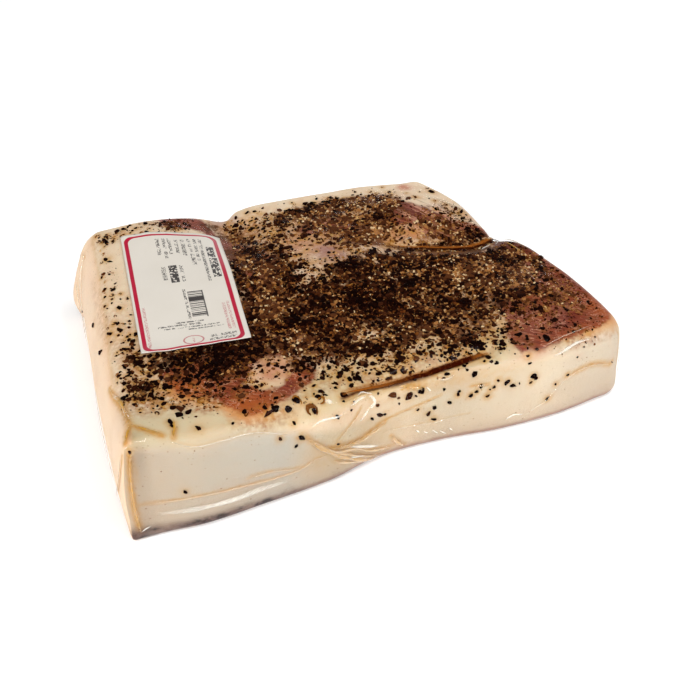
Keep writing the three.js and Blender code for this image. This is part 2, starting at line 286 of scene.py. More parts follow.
class Shader:
    """The node tree of a material or of the room, and short ways to add what this slab's finishes need."""

    def __init__(self, name: str, is_room: bool = False) -> None:
        """Starts an empty material, or an empty room.

        Args:
            name: Its name.
            is_room: Whether it is the room round the scene.
        """
        self.owner = (bpy.data.worlds if is_room else bpy.data.materials).new(name)
        self.owner.use_nodes = True
        self.tree = self.owner.node_tree
        self.tree.nodes.clear()
        self._place: Optional[Level] = None

    def node(
        self,
        kind: str,
        settings: Optional[dict] = None,
        inputs: Optional[dict] = None,
        output: Union[int, str] = 0,
    ) -> Level:
        """Adds a node.

        Args:
            kind: Blender's name of the node type.
            settings: The node's own settings, set first; "stops" fills a colour ramp.
            inputs: Values or links of its input sockets, by name or number.
            output: Which of its outputs is wanted, by name or number.

        Returns:
            That output, which is empty on a node that ends a tree.
        """
        made = self.tree.nodes.new(kind)
        for key, value in (settings or {}).items():
            if key == "stops":
                ramp = made.color_ramp
                for stop in value[2:]:
                    ramp.elements.new(stop[0])
                for element, (position, colour) in zip(ramp.elements, value):
                    element.position, element.color = position, colour
            else:
                setattr(made, key, value)
        for key, value in (inputs or {}).items():
            socket = made.inputs[key]
            if isinstance(value, Level):
                self.tree.links.new(value.socket, socket)
            else:
                socket.default_value = value
        return Level(self, made.outputs[output] if made.outputs else None)

    def attribute(self, name: str) -> Level:
        """A number that the mesh holds at each point."""
        settings = {"attribute_type": "GEOMETRY", "attribute_name": name}
        return self.node("ShaderNodeAttribute", settings, output="Fac")

    def place(self) -> Level:
        """The point's place in the frame, in metres, from one node that the whole material shares.

        Returns:
            The place.
        """
        if self._place is None:
            self._place = self.node("ShaderNodeTexCoord", output="Object")
        return self._place

    def laid_along(self, turn: float, stretch: Sequence[float]) -> Level:
        """Places turned in plan and squeezed along their axes, so that a texture runs in streaks.

        Args:
            turn: Degrees that the streaks turn from the X axis.
            stretch: Scale on X, Y and Z.

        Returns:
            The places.
        """
        inputs = {"Vector": self.place(), "Rotation": (0, 0, math.radians(turn)), "Scale": tuple(stretch)}
        return self.node("ShaderNodeMapping", {"vector_type": "TEXTURE"}, inputs)

    def noise(
        self, size: float, detail: float = 2.0, distortion: float = 0.0, at: Optional[Level] = None
    ) -> Level:
        """Cloudy noise between about 0.2 and 0.8.

        Args:
            size: Millimetres from one cloud to the next.
            detail: How many finer layers it has.
            distortion: How much it swirls.
            at: Places to read it at, when not the point's own.

        Returns:
            The noise.
        """
        scale = 1 / (size * MM)
        inputs = {"Vector": at or self.place(), "Scale": scale, "Detail": detail, "Distortion": distortion}
        return self.node("ShaderNodeTexNoise", {}, inputs)

    def cells(self, size: float) -> Level:
        """Distance to the nearest of many scattered points, as a share of the millimetres between them."""
        inputs = {"Vector": self.place(), "Scale": 1 / (size * MM)}
        return self.node("ShaderNodeTexVoronoi", {}, inputs, "Distance")

    def chance(self, first: Level, second: Input) -> Level:
        """A random number from 0 to 1 for each pair of whole numbers."""
        pair = self.node("ShaderNodeCombineXYZ", {}, {0: first, 1: second})
        return self.node("ShaderNodeTexWhiteNoise", {"noise_dimensions": "2D"}, {"Vector": pair}, "Value")

    def blend(self, under: Input, over: Input, share: Input) -> Level:
        """A colour with a share of another one over it."""
        return self.node("ShaderNodeMix", {"data_type": "RGBA"}, {0: share, 6: under, 7: over}, 2)

    def ramp(self, value: Level, stops: Sequence[tuple[float, Colour]]) -> Level:
        """A colour picked from a row of stops by a value between 0 and 1."""
        return self.node("ShaderNodeValToRGB", {"stops": list(stops)}, {0: value})

    def bump(self, height: Level, depth: float, under: Optional[Level] = None) -> Level:
        """A normal that follows a height.

        Args:
            height: The height, about 0 to 1.
            depth: Millimetres that a height of 1 stands for.
            under: A normal that this one adds to.

        Returns:
            The normal.
        """
        inputs: dict = {"Strength": 1.0, "Distance": depth * MM, "Height": height}
        if under is not None:
            inputs["Normal"] = under
        return self.node("ShaderNodeBump", {}, inputs)

    def principled(self, **inputs: Input) -> Level:
        """A Principled surface; an input's spaces are written as underscores."""
        named = {key.replace("_", " "): value for key, value in inputs.items()}
        return self.node("ShaderNodeBsdfPrincipled", {}, named)

    def solid(self, **inputs: Input) -> bpy.types.Material:
        """Ends the material with a Principled surface, and returns it."""
        return self.finish(self.principled(**inputs))

    def over_clear(self, surface: Level, share: Level) -> Level:
        """A surface that shows by a share, over nothing."""
        clear = self.node("ShaderNodeBsdfTransparent")
        return self.node("ShaderNodeMixShader", {}, {0: share, 1: clear, 2: surface})

    def finish(self, surface: Level) -> bpy.types.Material:
        """Ends the material with its surface, and returns it."""
        self.node("ShaderNodeOutputMaterial", {}, {"Surface": surface})
        return self.owner


class Side(Enum):
    """A side of the slab, with the way that a ray looks at it and the two axes of its paths."""

    TOP = ((0, 0, -1), (0, 1))
    FRONT = ((0, 1, 0), (0, 2))
    BACK = ((0, -1, 0), (0, 2))
    LEFT = ((1, 0, 0), (1, 2))
    RIGHT = ((-1, 0, 0), (1, 2))


TOP, FRONT, BACK, LEFT, RIGHT = Side


@dataclass(frozen=True)
class SlabForm:
    """The slab's shape: a soft block laid on its outline, under a lumpy top. All in millimetres."""

    length: float = 268.0
    depth: float = 187.0
    front_left: float = 56.5
    front_right: float = 47.5
    back_left: float = 57.5
    back_right: float = 47.0
    other_rounding: tuple[float, float] = (10.5, 11.5)
    corner_rounding: float = 8.5
    front_left_rounding: float = 0.5
    foot_rounding: tuple[float, float] = (4.0, 8.5)
    foot_pressed: float = 1.4
    bulge: float = 1.7
    lean_from: float = 0.35
    crowding: float = 1.18
    front_side: Stations = (
        (-134, -90.5), (-101.5, -96), (-69.5, -95), (-32.5, -92.5), (-4, -86.5), (29.5, -87.5),
        (64.5, -92.5), (100.5, -93.5), (134, -89.5),
    )
    back_side: Stations = (
        (-121.5, 96), (-76, 95.5), (-45.5, 92.5), (-28.5, 90), (-18, 95), (19, 96), (57, 95.5), (81, 95),
        (114, 90),
    )
    left_side: Stations = (
        (-93, -135), (-80, -135.5), (-55, -133.5), (-33, -131.5), (-5, -128.5), (24.5, -124.5),
        (70.5, -118.5), (93, -117.5),
    )
    right_side: Stations = (
        (-93, 131), (-76, 136), (-38, 134), (-13.5, 128), (4, 120), (11.5, 114.5), (23, 112.5),
        (57, 110.5), (93, 97.5),
    )
    left_lean: Stations = ((-93, 2), (-57, 5), (0, 7.5), (57, 9.5), (93, 10.5))
    front_rounding: Stations = (
        (-134, 5, 4), (-112, 7, 6), (-85.5, 11, 10), (-57, 14, 14), (-19, 9.5, 9.5), (57, 7.5, 7.5),
        (104.5, 9.5, 7.5), (134, 12.5, 8.5),
    )
    lobes: Sequence[Patch] = (
        (-89, 41.5, 40, 59, 3.5), (0.5, 5.5, 59, 49.5, 5), (-64, -55.5, 28.5, 19, 2.5),
        (69, 53, 26.5, 23, 4), (97.5, -44, 24.5, 32.5, 3), (-35.5, 68, 13.5, 25.5, -6.5),
        (-39.5, 41.5, 11.5, 23, -2), (-85, 72, 23, 21, 3), (125, -0.5, 15, 15, 2.5),
        (-5, -78.5, 15, 11.5, -2), (-130.5, -84, 19, 19, 5),
    )
    back_crease: Stations = (
        (118, 14), (108, 12), (101, 9.5), (92, 8), (83, 9.5), (72, 13), (59, 17), (47, 23),
    )
    front_crease: Stations = (
        (-26, -86.5), (-17, -84.2), (-6, -83.6), (6, -84), (20, -84.4), (36, -84), (54, -83.2),
    )
    back_valley: tuple[float, float] = (8.5, 3.2)
    front_valley: tuple[float, float] = (5.7, 1.9)
    pinched_corners: Sequence[tuple] = (
        ((-135.5, -90.0, 2.0), (-1.2, -1.6, 0.0), 7.0), ((132.5, -88.5, 5.5), (1.5, -1.5, 0.0), 8.5),
        ((-116.5, 95.5, 13.5), (-3.5, -1.0, 0.0), 11.4),
    )

    def top_height(self, x: Array, y: Array) -> Array:
        """Height of the top over a place of the plan.

        Args:
            x: Places along the slab.
            y: Places across it.

        Returns:
            The height at each place.
        """
        across = np.clip(x / self.length + 0.5, 0, 1)
        along = np.clip(y / self.depth + 0.5, 0, 1)
        front = mix(self.front_left, self.front_right, across)
        back = mix(self.back_left, self.back_right, across)
        height = mix(front, back, along)
        for at_x, at_y, *reach, rise in self.lobes:
            height = height + rise * bell(x, y, (at_x, at_y), reach)
        places = np.column_stack([np.ravel(x), np.ravel(y)])
        valleys = ((self.back_crease, self.back_valley), (self.front_crease, self.front_valley))
        for path, (reach, fall) in valleys:
            away = distance_to_path(places, np.asarray(path, float)).reshape(np.shape(x))
            height = height - fall * np.exp(-((away / reach) ** 2))
        return height

    def skin_point(self, u: Array, v: Array, w: Array) -> Array:
        """Where a point of the plain block lies on the slab.

        Args:
            u: From -1 at the left to 1 at the right.
            v: From -1 at the front to 1 at the back.
            w: From 0 at the bottom to 1 at the top.

        Returns:
            The places, one a row.
        """
        half_length, half_depth = self.length / 2, self.depth / 2
        x, y = u * half_length, v * half_depth
        front_share = np.clip(-v * 3 - 2, 0, 1)
        front_left_share = front_share * np.clip(-u * 6 - 5, 0, 1)
        inward = mix(self.other_rounding[0], through(self.front_rounding, x, 1), front_share)
        down = mix(self.other_rounding[1], through(self.front_rounding, x, 2), front_share)
        plan_x = mix(through(self.left_side, y), through(self.right_side, y), x / self.length + 0.5)
        plan_y = mix(through(self.front_side, x), through(self.back_side, x), y / self.depth + 0.5)
        top = self.top_height(plan_x, plan_y)
        z = mix(-self.foot_pressed, top, w)
        up = np.clip(z / top, 0, 1)
        of_corner = mix(self.corner_rounding, self.front_left_rounding, front_left_share)
        round_in = mix(self.foot_rounding[0], inward, up) * 0.5 + of_corner * 0.5
        core = np.stack(
            [
                np.clip(x, round_in - half_length, half_length - round_in),
                np.clip(y, round_in - half_depth, half_depth - round_in),
                np.minimum(np.maximum(z, self.foot_rounding[1] - self.foot_pressed), top - down),
            ],
            -1,
        )
        round_up = np.where(z < core[..., 2], self.foot_rounding[1], down)
        radii = np.stack([round_in, round_in, round_up], -1)
        rounded = core + unit((np.stack([x, y, z], -1) - core) / radii) * radii
        rx, ry, rz = rounded[..., 0], rounded[..., 1], rounded[..., 2]
        share = np.clip(rz / top, 0, 1)
        swell = self.bulge * np.sin(math.pi * share)
        leaning = np.clip((share - self.lean_from) / (1 - self.lean_from), 0, 1) ** 1.5
        lean = through(self.left_lean, ry) * leaning
        left = through(self.left_side, ry) - swell + lean
        right = through(self.right_side, ry) + swell
        front = through(self.front_side, rx) - swell
        back = through(self.back_side, rx) + swell
        placed = np.stack(
            [mix(left, right, rx / self.length + 0.5), mix(front, back, ry / self.depth + 0.5), rz], -1
        )
        for at, push, reach in self.pinched_corners:
            near = np.exp(-((placed - np.array(at)) ** 2).sum(-1) / reach**2)
            placed = placed + np.array(push) * near[..., None]
        placed[..., 2] = np.maximum(placed[..., 2], 0.0)
        return placed + np.array(MIDDLE_SHIFT)

    def skin(self, cells: tuple[int, int, int]) -> tuple[Array, Array]:
        """The slab's whole closed surface as one welded grid.

        Args:
            cells: Faces along the length, the depth and the height.

        Returns:
            The points, one a row, and the four corners of each face.
        """
        faces, keys = [], []
        strides = ((cells[1] + 1) * (cells[2] + 1), cells[2] + 1, 1)
        for axis in range(3):
            first, second = [other for other in range(3) if other != axis]
            for end in (0, 1):
                steps = (np.arange(cells[first] + 1), np.arange(cells[second] + 1))
                a, b = np.meshgrid(*steps, indexing="ij")
                key = a * strides[first] + b * strides[second] + end * cells[axis] * strides[axis]
                quad = np.stack([key[:-1, :-1], key[1:, :-1], key[1:, 1:], key[:-1, 1:]], -1).reshape(-1, 4)
                outward = (end == 1) != (axis == 1)
                faces.append(quad if outward else quad[:, ::-1])
                keys.append(key.ravel())
        used = np.unique(np.concatenate(keys))
        corners = np.searchsorted(used, np.concatenate(faces))
        i, j, k = used // strides[0], used // strides[1] % (cells[1] + 1), used % (cells[2] + 1)

        def closer_at_ends(step: Array, count: int) -> Array:
            """Where a step lies from -1 to 1, with the steps closer together at both ends."""
            return np.sin((step / count * 2 - 1) * self.crowding) / math.sin(self.crowding)

        points = self.skin_point(closer_at_ends(i, cells[0]), closer_at_ends(j, cells[1]), k / cells[2])
        return points, corners


def point_normals(points: Array, faces: Array) -> Array:
    """The outward direction at each point of a mesh of four-cornered faces.

    Args:
        points: The mesh's points, one a row.
        faces: The four corners of each face.

    Returns:
        The directions, one a row.
    """
    corner = points[faces]
    crossed = np.cross(corner[:, 2] - corner[:, 0], corner[:, 3] - corner[:, 1])
    normals = np.zeros_like(points)
    for i in range(4):
        np.add.at(normals, faces[:, i], crossed)
    return unit(normals)


def make_piece(
    name: str,
    points: Array,
    faces: Array,
    material: bpy.types.Material,
    levels: Optional[dict[str, Array]] = None,
    smooth: bool = True,
) -> bpy.types.Object:
    """Makes a mesh object that rides on the root.

    Args:
        name: The piece's name.
        points: Its points in millimetres, one a row.
        faces: The corners of each face, as many on all of them.
        material: Its finish.
        levels: Numbers that the finish reads at each point, by name.
        smooth: Whether its faces shade smoothly.

    Returns:
        The object.
    """
    mesh = bpy.data.meshes.new(name)
    mesh.vertices.add(len(points))
    mesh.vertices.foreach_set("co", (points * MM).astype(np.float32).ravel())
    mesh.loops.add(faces.size)
    mesh.loops.foreach_set("vertex_index", faces.astype(np.int32).ravel())
    mesh.polygons.add(len(faces))
    mesh.polygons.foreach_set("loop_start", np.arange(0, faces.size, faces.shape[1], dtype=np.int32))
    mesh.polygons.foreach_set("use_smooth", np.full(len(faces), smooth))
    mesh.update(calc_edges=True)
    for key, values in (levels or {}).items():
        mesh.attributes.new(key, "FLOAT", "POINT").data.foreach_set("value", values.astype(np.float32))
    mesh.materials.append(material)
    made = bpy.data.objects.new(name, mesh)
    bpy.context.scene.collection.objects.link(made)
    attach(made, ROOT)
    log.info("%s: %d points, %d faces", name, len(points), len(faces))
    return made


def faces_up(normals: Array) -> Array:
    """How much each direction points up, 0 to 1."""
    return ease(normals[:, 2], 0.25, 0.7)


def faces_front(normals: Array) -> Array:
    """How much each direction points to the front, 0 to 1."""
    return ease(-normals[:, 1], 0.3, 0.75)


class Surface:
    """A mesh that other pieces are laid on, met by rays from its sides; plan is its points without shift."""

    def __init__(self, points: Array, faces: Array) -> None:
        """Keeps the mesh and sorts its faces for the rays.

        Args:
            points: The mesh's points, one a row.
            faces: The four corners of each face.
        """
        self.points = points
        self.plan = points - np.array(MIDDLE_SHIFT)
        self.normals = point_normals(points, faces)
        self._tree = BVHTree.FromPolygons(points.tolist(), faces.tolist())

    def meet(self, side: Side, a: float, b: float) -> Optional[tuple[Array, Array]]:
        """The point that a ray from a side meets first.

        Args:
            side: The side that the ray comes from.
            a: The ray's place on the side's first axis.
            b: Its place on the second axis.

        Returns:
            The point and the direction out of the surface there, or None where the ray misses.
        """
        look, (first, second) = side.value
        start = [-RAY_START * part for part in look]
        start[first], start[second] = a, b
        hit, normal, _, _ = self._tree.ray_cast(Vector(start), Vector(look))
        return None if hit is None else (np.array(hit), np.array(normal))

    def trail(self, side: Side, stations: Stations, step: float) -> tuple[Array, Array]:
        """A smooth path over the surface.

        Args:
            side: The side that its stations are seen from.
            stations: Points of the path on the side's two axes.
            step: Distance from one point to the next.

        Returns:
            The path's points and the directions out of the surface there.
        """
        shift = np.array(MIDDLE_SHIFT)[list(side.value[1])]
        met = [self.meet(side, *(place + shift)) for place in smooth_path(stations, step)]
        found = [pair for pair in met if pair is not None]
        points = np.array([pair[0] for pair in found])
        normals = np.array([pair[1] for pair in found])
        beside = 3
        padded = np.vstack([normals[:1]] * beside + [normals] + [normals[-1:]] * beside)
        smoothed = sum(padded[i : i + len(normals)] for i in range(2 * beside + 1))
        return points, unit(smoothed)


@dataclass(frozen=True)
class Fold:
    """One pinched fold of the film, in millimetres, with the juice caught in it.

    The juice is as dark as amber says, from 0 to 1, and stains the fat beside the fold as far as stain. Each
    end fades over the share clear_ends of the length.
    """

    name: str
    side: Side
    stations: Stations
    width: float
    height: float
    amber: float
    stain: float = 0.0
    clear_ends: float = 0.2
    opacity: float = 1.0


# Folds with no amber, the glints and sheens among them, are near-white: partly milky film, partly painted
# highlight.
FOLDS: tuple[Fold, ...] = (
    Fold("tuck", FRONT, ((-48, 39), (-41.5, 30.6), (-37, 26), (-28.9, 17.7), (-14.5, 6.1), (-6, 3.5)),
         3.2, 0.8, 0.8, 2.2),
    Fold("tuck_second", FRONT, ((-44, 34), (-36.5, 26.5), (-27, 18.5), (-14, 8.5), (-3, 4)),
         2.2, 0.7, 0.7, 1.6),
    Fold("tuck_inner", FRONT, ((-38, 27), (-30, 22), (-21.4, 18.7), (-11, 11), (0, 8)), 2, 0.7, 0.7, 1.6),
    Fold("tuck_low", FRONT, ((-34, 17), (-25, 11), (-14, 5.5), (-6, 2.5)), 1.8, 0.6, 0.65, 1.4),
    Fold("tuck_sheen", FRONT, ((-25, 22.5), (-19, 19), (-12, 15), (-7, 12.5)), 2.4, 1, 0, 0, 0.25),
    Fold("tuck_glint", FRONT, ((-25, 15), (-20, 12.5), (-15, 10)), 1.5, 0.9, 0, 0, 0.25),
    Fold("ray_up", FRONT, ((-32.1, 29.8), (-25.1, 34.9), (-20.1, 39.3), (-17.9, 42.6)),
         1, 0.3, 0.7, 1, 0.2, 0.6),
    Fold("ray_mid", FRONT, ((-36.9, 27.3), (-24.1, 23.5), (-15.2, 23.6), (-4, 28.2)),
         2.2, 0.5, 0.85, 2.2, 0.3, 0.8),
    Fold("ray_mid_low", FRONT, ((-28, 23), (-18, 21.5), (-10, 23.5), (-4, 26.5)), 1, 0.5, 0.7, 1.4),
    Fold("ray_far", FRONT, ((-6.2, 22), (7.5, 19.7), (19.2, 18.7), (30, 18.6), (42, 19)),
         0.7, 0.25, 0.3, 0.6, 0.3, 0.5),
    Fold("ray_high", FRONT, ((-2.6, 28.7), (7.1, 30.5), (18.8, 33), (26.9, 35.2)),
         0.7, 0.2, 0.8, 0.8, 0.3, 0.55),
    Fold("fan_small", FRONT, ((-0.1, 16.2), (3, 11), (7.4, 6)), 2.2, 0.6, 0.7, 1.6),
    Fold("flap_left", FRONT, ((-23.6, 46.9), (-20.5, 47.6), (-17, 47.6), (-14, 47)), 2, 1.3, 0, 0, 0.3),
    Fold("flap_right", FRONT, ((-13, 47), (-11, 45.5), (-10, 43), (-13.2, 40)), 2.2, 1.3, 0, 0, 0.3),
    Fold("flap_brim", FRONT, ((-19, 49), (-15, 48.6), (-10, 46.6)), 1, 0.9, 0.05, 0, 0.2),
    Fold("flap_fall", FRONT, ((-13, 41), (-16, 37.5), (-19, 35)), 2.4, 0.6, 0.1, 0, 0.5),
    Fold("glint_line", FRONT, ((-45, 44.5), (-40.5, 46), (-32.6, 45.3), (-27.2, 45.4)),
         1.6, 0.8, 0, 0, 0.3),
    Fold("bubble", TOP, ((-36.5, -89), (-34.6, -89.6), (-32, -89.2)), 3.6, 1.1, 0, 0, 0.5),
    Fold("glint_star", FRONT, ((17.5, 43.5), (19.2, 41.4), (20, 39.5)), 1.3, 0.9, 0, 0, 0.4),
    Fold("amber_pool", FRONT, ((9, 44.6), (12.5, 43.8), (16.5, 42.6)), 2, 0.4, 0.9, 3, 0.4),
    Fold("gold_loop", FRONT, ((23.8, 45.4), (28.5, 44.8), (33.3, 46)), 1.7, 0.9, 0.5, 1.6, 0.3),
    Fold("right_trickle", FRONT, ((42.2, 37.2), (46.1, 37.4), (51, 36.6)), 0.9, 0.4, 0.8, 1.6),
    Fold("low_band", FRONT,
         ((-131, 25.5), (-118.5, 25), (-107, 25), (-95.5, 23.5), (-83, 22), (-68, 20), (-52.5, 20),
          (-45, 23), (-34, 24)), 0.5, 0.2, 0.6, 1),
    Fold("lower_band", FRONT, ((-78, 26), (-66, 25), (-56, 22), (-50, 21)), 0.4, 0.2, 0.5, 1.2),
    Fold("sheen_ridge", FRONT, ((-122, 18), (-103, 16.5), (-83.5, 15.5), (-73, 16), (-57.5, 15)),
         5, 0.9, 0, 0, 0.5),
    Fold("foot_glint", FRONT, ((-131, 7), (-128.5, 9), (-126, 10)), 1, 0.6, 0),
    Fold("corner", FRONT, ((-130, 58), (-131.5, 46), (-132.3, 30), (-132, 18), (-131, 6)),
         1.7, 0.4, 0.9, 1.7, 0.2, 0.85),
    Fold("right_rise", FRONT,
         ((69, 3.5), (76, 11.5), (83.5, 17.5), (91.5, 25.5), (101, 31), (110.5, 31), (121.5, 27)),
         0.6, 0.25, 0.4, 0, 0.2, 0.5),
    Fold("right_amber", FRONT, ((100, 30), (108, 31.5), (116, 30), (124, 26)), 0.8, 0.3, 0.7, 2.2, 0.4),
    Fold("right_foot", FRONT, ((62, 10), (66, 12.5), (72, 11)), 1.4, 0.6, 0),
    Fold("right_brim", FRONT, ((86, 44.5), (93, 45.8), (102, 47), (110, 46.5)), 1.9, 0.9, 0, 0.6, 0.4),
    Fold("tick_one", FRONT, ((13, 16), (14.5, 14.5), (15.7, 13)), 1.1, 0.6, 0),
    Fold("tick_two", FRONT, ((17, 13.5), (19, 12.5), (20.5, 11)), 1, 0.6, 0),
    Fold("tick_three", FRONT, ((22.5, 13), (24.5, 11), (26, 9)), 1.1, 0.6, 0),
    Fold("tick_four", FRONT, ((26, 11.5), (28.5, 9.5), (30.5, 7.7)), 1, 0.6, 0),
    Fold("tick_five", FRONT, ((31, 12), (33, 10.5), (34, 8.5)), 0.9, 0.5, 0),
    Fold("left_drop", LEFT, ((-89, 54), (-87.5, 42), (-83, 30), (-75, 18), (-66, 6)), 0.9, 0.4, 0.85, 1),
    Fold("left_wrinkle", LEFT, ((-60, 6), (-48, 13), (-30, 17), (-8, 16)), 0.8, 0.4, 0.15, 0.6),
    Fold("left_back", LEFT, ((84, 50), (76, 36), (62, 24), (40, 18)), 0.9, 0.5, 0.3, 1),
    Fold("left_back_low", LEFT, ((86, 30), (76, 20), (64, 12), (50, 9)), 0.8, 0.4, 0.4, 1),
    Fold("top_edge", TOP, ((-127, -38), (-126.5, -48), (-125.3, -57), (-125.5, -67), (-126, -77)),
         2, 0.35, 1, 2.2, 0.3, 1),
    Fold("top_corner", TOP, ((-126, -77), (-123, -80.5), (-119.5, -83.5), (-114, -87)),
         2, 0.3, 1, 2.2, 0.4, 1),
    Fold("top_fork", TOP, ((-126, -78), (-128.5, -83), (-130.5, -88)), 1.8, 0.3, 1, 2, 0.3, 1),
    Fold("top_drip", TOP, ((-106.4, -79.6), (-107.5, -84), (-109.6, -89.4)), 1.2, 0.25, 1, 1.6, 0.3, 1),
    Fold("brim", FRONT, ((-112, 57), (-102, 53), (-87.5, 51.5), (-73, 50), (-55, 44)), 0.5, 0.25, 0.2, 0.8),
    Fold("notch_glint", TOP, ((93.5, -1.5), (98, 1), (103, 3.4)), 0.9, 0.7, 0, 0, 0.3),
    Fold("notch_glint_far", TOP, ((103.5, 0.5), (107, 3.2), (109.5, 6.6)), 0.8, 0.7, 0, 0, 0.3),
    Fold("notch_gold", TOP, ((109.5, 1), (111.3, -3), (112.6, -8), (113.6, -13)), 1, 0.5, 0.9, 0),
    Fold("notch_ember", TOP, ((112, 6), (113.5, 1), (116, -4), (118, -9)), 0.7, 0.4, 0.9, 0, 0.3, 0.8),
    Fold("notch_brown", TOP, ((104, 10.5), (107.5, 12), (110.5, 14)), 3, 0.6, 0.8, 3, 0.4),
    Fold("pocket", TOP, ((57, 24), (60.5, 23.4), (64, 23.2)), 1.2, 0.4, 0.5, 0, 0.4, 0.7),
    Fold("lean_edge", TOP, ((76, -90.5), (86, -89), (96, -86.5), (108, -85), (118, -82)),
         0.8, 0.3, 0.35, 0, 0.4, 0.5),
    Fold("back_tuck", BACK, ((-32, 50), (-30, 38), (-25, 24), (-14, 12), (4, 6)), 1.6, 0.8, 0.5, 1.5),
    Fold("back_fan", BACK, ((-31, 44), (-38, 30), (-50, 19), (-68, 13)), 1.1, 0.5, 0.3, 1),
    Fold("back_fan_low", BACK, ((-28, 26), (-40, 15), (-56, 8)), 0.8, 0.4, 0.2, 0.8),
    Fold("back_ray", BACK, ((-20, 20), (2, 24), (28, 22), (52, 17)), 0.7, 0.4, 0.15, 0.6),
    Fold("back_corner", BACK, ((88, 44), (90, 30), (90, 16), (88, 6)), 1, 0.4, 0.6, 1.2, 0.3, 0.5),
    Fold("back_left_corner", BACK, ((-112, 48), (-113, 32), (-112, 16), (-111, 6)),
         1, 0.4, 0.6, 1.2, 0.3, 0.5),
    Fold("back_sheen", BACK, ((-96, 17), (-80, 14), (-60, 14), (-46, 18)), 4, 0.9, 0, 0, 0.5, 0.6),
    Fold("back_sheen_high", BACK, ((-6, 40), (10, 42), (26, 41)), 1.6, 0.8, 0, 0, 0.4, 0.8),
    Fold("back_sheen_far", BACK, ((28, 13), (46, 11), (66, 13), (80, 17)), 4, 0.9, 0, 0, 0.5, 0.6),
    Fold("right_sheen", RIGHT, ((-72, 15), (-56, 12), (-40, 13), (-28, 17)), 4, 0.9, 0, 0, 0.5, 0.6),
    Fold("right_sheen_high", RIGHT, ((-50, 37), (-40, 39), (-30, 38)), 1.5, 0.8, 0, 0, 0.4, 0.8),
    Fold("right_sheen_back", RIGHT, ((34, 34), (48, 36), (60, 35)), 1.8, 0.8, 0, 0, 0.4, 0.8),
    Fold("left_sheen", LEFT, ((-36, 11), (-10, 9), (16, 11), (30, 14)), 4, 0.9, 0, 0, 0.5, 0.5),
    Fold("notch_fold", RIGHT, ((10, 46), (8, 34), (5, 20), (2, 8)), 1.1, 0.45, 0.7, 1.4, 0.3, 0.55),
    Fold("notch_fan", RIGHT, ((9, 38), (0, 26), (-14, 17), (-32, 12)), 1, 0.6, 0.5, 1.4),
    Fold("notch_fan_low", RIGHT, ((6, 22), (-6, 13), (-20, 8)), 0.9, 0.5, 0.3, 1),
    Fold("notch_rise", RIGHT, ((10, 30), (20, 20), (34, 13), (50, 10)), 0.9, 0.5, 0.4, 1.2),
    Fold("right_corner", RIGHT, ((-86, 42), (-88, 30), (-88, 16), (-87, 6)), 0.9, 0.4, 0.5, 1.2, 0.3, 0.5),
    Fold("right_back", RIGHT, ((86, 40), (80, 28), (68, 18), (52, 14)), 0.8, 0.4, 0.3, 1),
)


LEAN_OUTLINES: dict[str, Stations] = {
    "right": (
        (104, 5), (112, 10), (120, 4), (124, -15), (131, -35), (137, -58), (134, -75), (124, -84),
        (100, -88.5), (82, -90), (70, -89), (68, -80), (74, -64), (77, -48), (85, -38), (100, -37),
        (108, -30), (110, -15),
    ),
    "front": (
        (-104, -44), (-101.5, -55), (-95.5, -64.5), (-83, -71), (-77.5, -82), (-72.5, -86), (-66, -86),
        (-58, -82.5), (-47, -80), (-34, -73.5), (-31, -67), (-34, -58), (-44, -46), (-58, -38), (-76, -34),
        (-95, -36),
    ),
    "back left": (
        (-68, 78), (-66, 90), (-52, 94), (-42, 84), (-38, 70), (-28, 62), (-22, 48), (-18, 30), (-20, 8),
        (-30, -6), (-40, -8), (-44, 8), (-42, 30), (-42, 52), (-46, 70), (-56, 74),
    ),
    "back right": (
        (66, 68), (74, 60), (84, 46), (96, 34), (110, 22), (111, 14), (98, 14), (82, 16), (70, 24),
        (60, 34), (52, 44), (58, 52),
    ),
    "middle": ((2, 52), (14, 60), (30, 58), (42, 46), (36, 38), (22, 44), (8, 44)),
}

FAT_OUTLINE: Stations = (
    (-59.5, -54), (-52.5, -49.5), (-41, -51), (-35.5, -57.5), (-43.5, -66), (-48.5, -71.5), (-56.5, -74),
    (-62.5, -72), (-69, -65.5), (-63.5, -60),
)

FAT_ISLANDS: Sequence[Patch] = (
    (-36, 8, 4, 6, 3), (80, 33, 12, 2.5, 5), (70, 46, 4, 10, 4), (64, 30, 8, 5, 7),
)

BARE_FAT: Sequence[Patch] = (
    (-8, 8, 8, 6, 0.9), (-2, 0, 8, 6, 0.75), (5, -12, 4, 6, 0.7), (-4, -22, 4, 3, 0.6),
    (0, -50, 9, 4, 0.8), (11, 23, 9, 10, 0.9), (10, -51, 9, 5, 0.7), (-53, -63, 13, 11, 0.8),
    (-34, -40, 9, 8, 0.4), (-5, 34, 6, 10, 0.75), (50, 33, 11, 7, 0.35), (66, 29, 12, 5, 0.4),
    (44, 16, 7, 8, 0.97), (112, 3, 8, 8, 0.8), (118, -7, 6, 9, 0.6), (-34, -84, 60, 6, 0.6),
)

